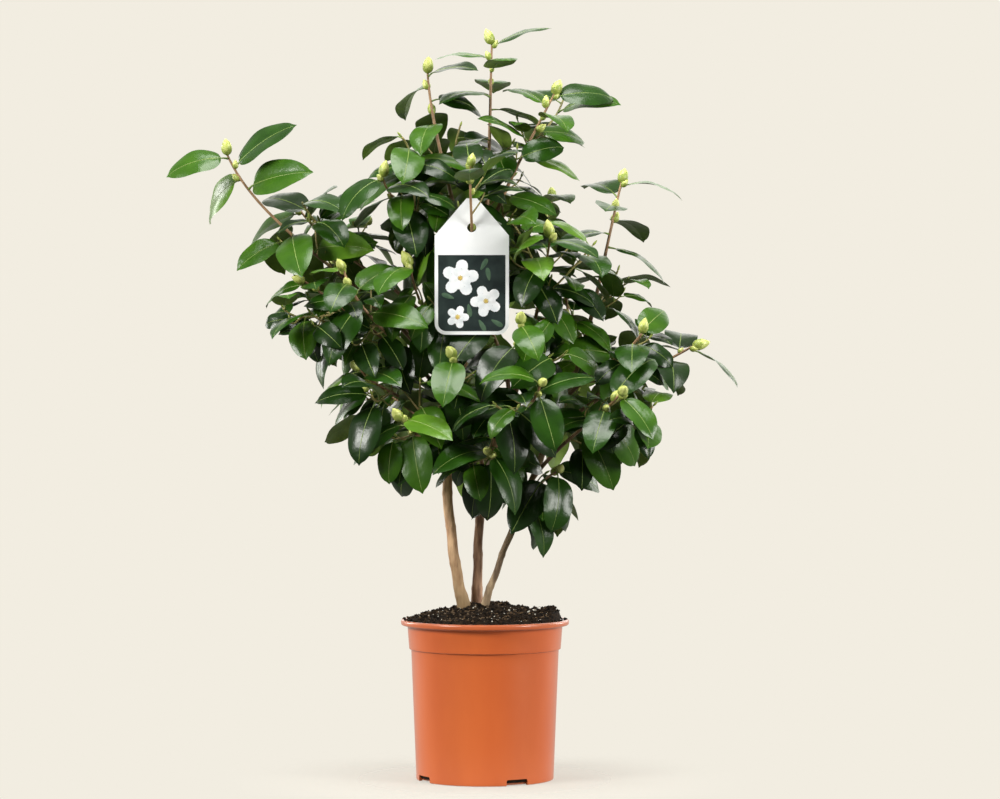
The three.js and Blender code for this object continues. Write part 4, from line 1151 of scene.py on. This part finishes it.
def dress_soil():
    wall, floor, gap = POT.wall, POT.floor, HEAP.gap
    foot, waist = POT.foot_radius - wall - gap, POT.body_radius - wall - gap
    sides = [
        (AXIS, floor + 0.3), (foot, floor + 0.3), (waist, COLLAR_AT - 2), (BRIM - 2, COLLAR_AT + 3),
        (BRIM, LIP_AT - 3),
    ]
    rings = np.linspace(BRIM, AXIS, HEAP.rings)
    grid = lathe(np.array(sides + [(r, POT.height) for r in rings]), HEAP.sides)
    for row in grid[len(sides):]:
        for point in row:
            point[2] = soil_height(point[0], point[1])
    heap = Heap()
    heap.add(grid, closed=True)
    heap.piece("soil_heap", finish("peat"), "soil", ["soil"])
    scatter_bits()


def ball(rows, columns):
    """Directions over a sphere, as a closed grid."""
    rise = np.linspace(-math.pi / 2 + 0.02, math.pi / 2 - 0.02, rows)[:, None]
    turn = np.linspace(0, 2 * math.pi, columns, endpoint=False)[None]
    return np.stack([np.cos(rise) * np.cos(turn), np.cos(rise) * np.sin(turn), np.sin(rise) + 0 * turn], -1)


def scatter_bits():
    heaps = {kind: Heap() for kind in BITS}
    random = make_random(71)
    jitter = np.random.default_rng(71)
    sphere = ball(4, 6)

    def spot(inner, outer):
        radius, angle = math.sqrt(random(inner**2, outer**2)), random(0, 2 * math.pi)
        x, y = radius * math.cos(angle), radius * math.sin(angle)
        return np.array([x, y, soil_height(x, y) if radius < BRIM else POT.height])

    def add_lump(heap, at, size, flatness):
        shape = sphere * (1 + jitter.uniform(-0.3, 0.3, sphere.shape[:2])[..., None])
        shape = shape * np.array([size, size * random(0.6, 1), size * flatness])
        turn = random(0, 2 * math.pi)
        c, s = math.cos(turn), math.sin(turn)
        spin = np.array([[c, s, 0], [-s, c, 0], [0, 0, 1]])
        heap.add(at + shape @ spin + 0.25 * size * UP, closed=True)

    def add_fibre(heap):
        start, turn = spot(*ON_SOIL), random(0, 2 * math.pi)
        size = random(3, 8)
        t = np.linspace(0, 1, 6)[:, None]
        ahead = np.array([math.cos(turn), math.sin(turn), random(-0.1, 0.25)])
        side = np.array([-math.sin(turn), math.cos(turn), 0])
        path = start + size * t * ahead + size * random(-0.4, 0.4) * np.sin(3 * t) * side + 0.5 * UP
        tube(heap, path, np.full(len(path), random(0.15, 0.35)), 4, UP)

    for kind, count, place, sizes, power, flatness in LUMPS:
        for _ in range(count):
            add_lump(heaps[kind], spot(*place), random(*sizes) ** power, random(*flatness))
    for _ in range(FIBRES):
        add_fibre(heaps["fibres"])
    for kind, (look, sharp) in BITS.items():
        heaps[kind].piece(f"soil_{kind}", finish(look), "soil", sharp=sharp)


# The tag: a white card with a dark panel and a sprig of small white blossoms
def plate(name, outlines, depth, ahead, look):
    """A flat plate in the tag's plane from closed outlines; the second one is a hole."""
    curve = bpy.data.curves.new(name, "CURVE")
    curve.dimensions = "2D"
    curve.fill_mode = "BOTH"
    curve.extrude = depth / 2 * MM
    for outline in outlines:
        line = curve.splines.new("POLY")
        line.points.add(len(outline) - 1)
        for point, (x, z) in zip(line.points, outline):
            point.co = (x * MM, z * MM, 0, 1)
        line.use_cyclic_u = True
    mesh = bake(put(name + "_sketch", curve))
    for vertex in mesh.vertices:
        x, z, y = vertex.co
        vertex.co = Vector(tag_at + ahead * FRONT) * MM + Vector((x, -y, z))
    show(mesh, name, look, ["tag"], sharp=30)


def rounded_foot(half, foot, radius):
    """The two lower corners of a card that reaches half to each side."""
    made = []
    for x, start in ((radius - half, 180), (half - radius, 270)):
        for a in np.radians(np.linspace(start, start + 90, 7)):
            made.append((x + radius * math.cos(a), foot + radius + radius * math.sin(a)))
    return made


def add_petal(heap, centre, angle, length, width, ahead):
    k = np.array([0.03, 0.5, 0.85, 1.0])[:, None]
    turn = np.linspace(0, 2 * math.pi, 14, endpoint=False)[None]
    along = length * (0.5 + 0.5 * k * np.cos(turn))
    across = width / 2 * k * np.sin(turn) * (0.75 + 0.25 * np.cos(turn))
    lift = ahead + 0.35 * (1 - k**2) + 0 * turn
    c, s = math.cos(math.radians(angle)), math.sin(math.radians(angle))
    x = centre[0] + c * along - s * across
    z = centre[1] + s * along + c * across
    heap.add(tag_at + np.stack([x, -lift, z], -1), closed=True)


def dress_tag():
    half, top, foot = TAG.width / 2, TAG.hole_drop, TAG.hole_drop - TAG.height
    shoulder, apex, corner = top - TAG.slope, TAG.apex / 2, TAG.corner
    outline = [(-apex, top), (-half, shoulder), *rounded_foot(half, foot, corner)]
    outline += [(half, shoulder), (apex, top)]
    turns = np.linspace(0, 2 * math.pi, 29)[:-1]
    hole = [(TAG.hole_radius * math.cos(a), TAG.hole_radius * math.sin(a)) for a in turns]
    plate("tag_card", [outline, hole], TAG.thickness, 0, finish("tag card"))
    inset, front = PICTURE.inset, TAG.thickness / 2
    wide, low, head = half - inset, foot + inset, shoulder - PICTURE.head
    panel = [(-wide, head), *rounded_foot(wide, low, corner - inset), (wide, head)]
    plate("tag_panel", [panel], PICTURE.film, front + 0.05, finish("tag panel"))
    print_picture((head + low) / 2, front)


def print_picture(middle, front):
    petals, eyes, sprig = Heap(), Heap(), Heap()
    for x, z, size, tilt in PICTURE.blossoms:
        centre = x, middle + z
        for ring, share in enumerate(PICTURE.rings):
            for i in range(PICTURE.petals):
                angle = tilt + 360 / PICTURE.petals * (i + ring / 2)
                length, ahead = share * size, front + 0.14 + 0.04 * (i % 2) + 0.3 * ring
                add_petal(petals, centre, angle, length, PICTURE.width * length, ahead)
        for i in range(PICTURE.eyes):
            add_petal(eyes, centre, 360 / PICTURE.eyes * i, *PICTURE.eye, front + 0.85)
    for x, z, angle in PICTURE.leaves:
        add_petal(sprig, (x, middle + z), angle, *PICTURE.leaf, front + PICTURE.film)
    for name, heap in (("petals", petals), ("eyes", eyes), ("sprig", sprig)):
        heap.piece(f"tag_{name}", finish(f"tag {name}"), "tag")


dress_leaves()
dress_buds()
dress_wood()
dress_pot()
dress_soil()
dress_tag()


# Floor, light and camera: colours as they show, each fade as what goes in and comes out at both ends, and
# each lamp's place and size in metres with its power
FLOOR = Facts(
    rings=(AXIS, 400, 1000, 2000, 4000), level=-0.3, colour=(196, 193, 186),
    fade=((0.1, 0.42), (0.32, 0)),
)
SURROUND = Facts(shown=(242, 237, 225), light=(242, 239, 230), depth=((-0.7, 0.18), (0.9, 0.62)))
LAMPS = {
    "key": ((-2.1, -1.5, 1.6), (0.9, 0.9), 78),
    "fill": ((2.3, -1.3, 1.1), (0.8, 1.2), 62),
    "top": ((0, -0.5, 2.5), (1.4, 1.2), 60),
    "back": ((0.4, 2.6, 1.5), (3.0, 2.2), 26),
    "rim_left": ((-2.1, 1.6, 0.9), (0.5, 1.6), 24),
    "rim_right": ((2.1, 1.6, 0.9), (0.5, 1.6), 20),
}
LIT = (0, 0, 0.45)  # the place that the lamps face
LAMP_TINT = (1.0, 0.985, 0.95)
CAMERA = Facts(place=(0.0174, -3.6, 0.439), lens=111.8, sensor=36, clip=50)


def make_floor():
    """A disc that shows close to the pot and fades out into the surround."""
    heap = Heap()
    profile = np.array([(radius, FLOOR.level) for radius in FLOOR.rings])
    heap.add(lathe(profile, 64)[:, ::-1], closed=True)
    mesh = heap.mesh("floor")
    look, tree, shader = new_material("floor", {"Base Color": linear(*FLOOR.colour), "Roughness": 0.8})
    distance = add_node(tree, "VectorMath")
    distance.operation = "LENGTH"
    tree.links.new(add_node(tree, "TexCoord").outputs["Object"], distance.inputs[0])
    fade = add_fade(tree, distance.outputs["Value"], *FLOOR.fade)
    fade.interpolation_type = "SMOOTHSTEP"
    tree.links.new(fade.outputs["Result"], shader.inputs["Alpha"])
    mesh.materials.append(look)
    floor = put("floor", mesh)


def make_world():
    """A pale surround, which lights the plant less than it shows."""
    world = bpy.data.worlds.new("studio")
    world.use_nodes = True
    tree = world.node_tree
    link = tree.links.new
    shown = tree.nodes["Background"]
    set_inputs(shown, {"Color": linear(*SURROUND.shown), "Strength": 1})
    light = add_node(tree, "Background", {"Color": linear(*SURROUND.light)})
    axes = add_node(tree, "SeparateXYZ")
    link(add_node(tree, "TexCoord").outputs["Generated"], axes.inputs[0])
    depth = add_fade(tree, axes.outputs["Y"], *SURROUND.depth)
    link(depth.outputs["Result"], light.inputs["Strength"])
    choose = add_node(tree, "MixShader")
    link(add_node(tree, "LightPath").outputs["Is Camera Ray"], choose.inputs[0])
    link(light.outputs[0], choose.inputs[1])
    link(shown.outputs[0], choose.inputs[2])
    link(choose.outputs[0], tree.nodes["World Output"].inputs["Surface"])
    bpy.context.scene.world = world


def make_light(name, place, size, power):
    data = bpy.data.lights.new(name, "AREA")
    data.shape = "RECTANGLE"
    data.size, data.size_y = size
    data.energy = power
    data.color = LAMP_TINT
    lamp = put(name, data)
    lamp.location = place
    lamp.rotation_euler = (Vector(LIT) - Vector(place)).to_track_quat("-Z", "Y").to_euler()


def make_camera():
    """Level with the middle of the crown, 3.6 m in front, with the photograph's narrow view."""
    data = bpy.data.cameras.new("camera")
    data.sensor_width = CAMERA.sensor
    data.lens = CAMERA.lens
    data.clip_end = CAMERA.clip
    camera = put("camera", data)
    camera.location = CAMERA.place
    camera.rotation_euler = (math.radians(90), 0, 0)
    bpy.context.scene.camera = camera


make_floor()
make_world()
for name, (place, size, power) in LAMPS.items():
    make_light(name, place, size, power)
make_camera()
bpy.context.scene.view_settings.view_transform = "Standard"
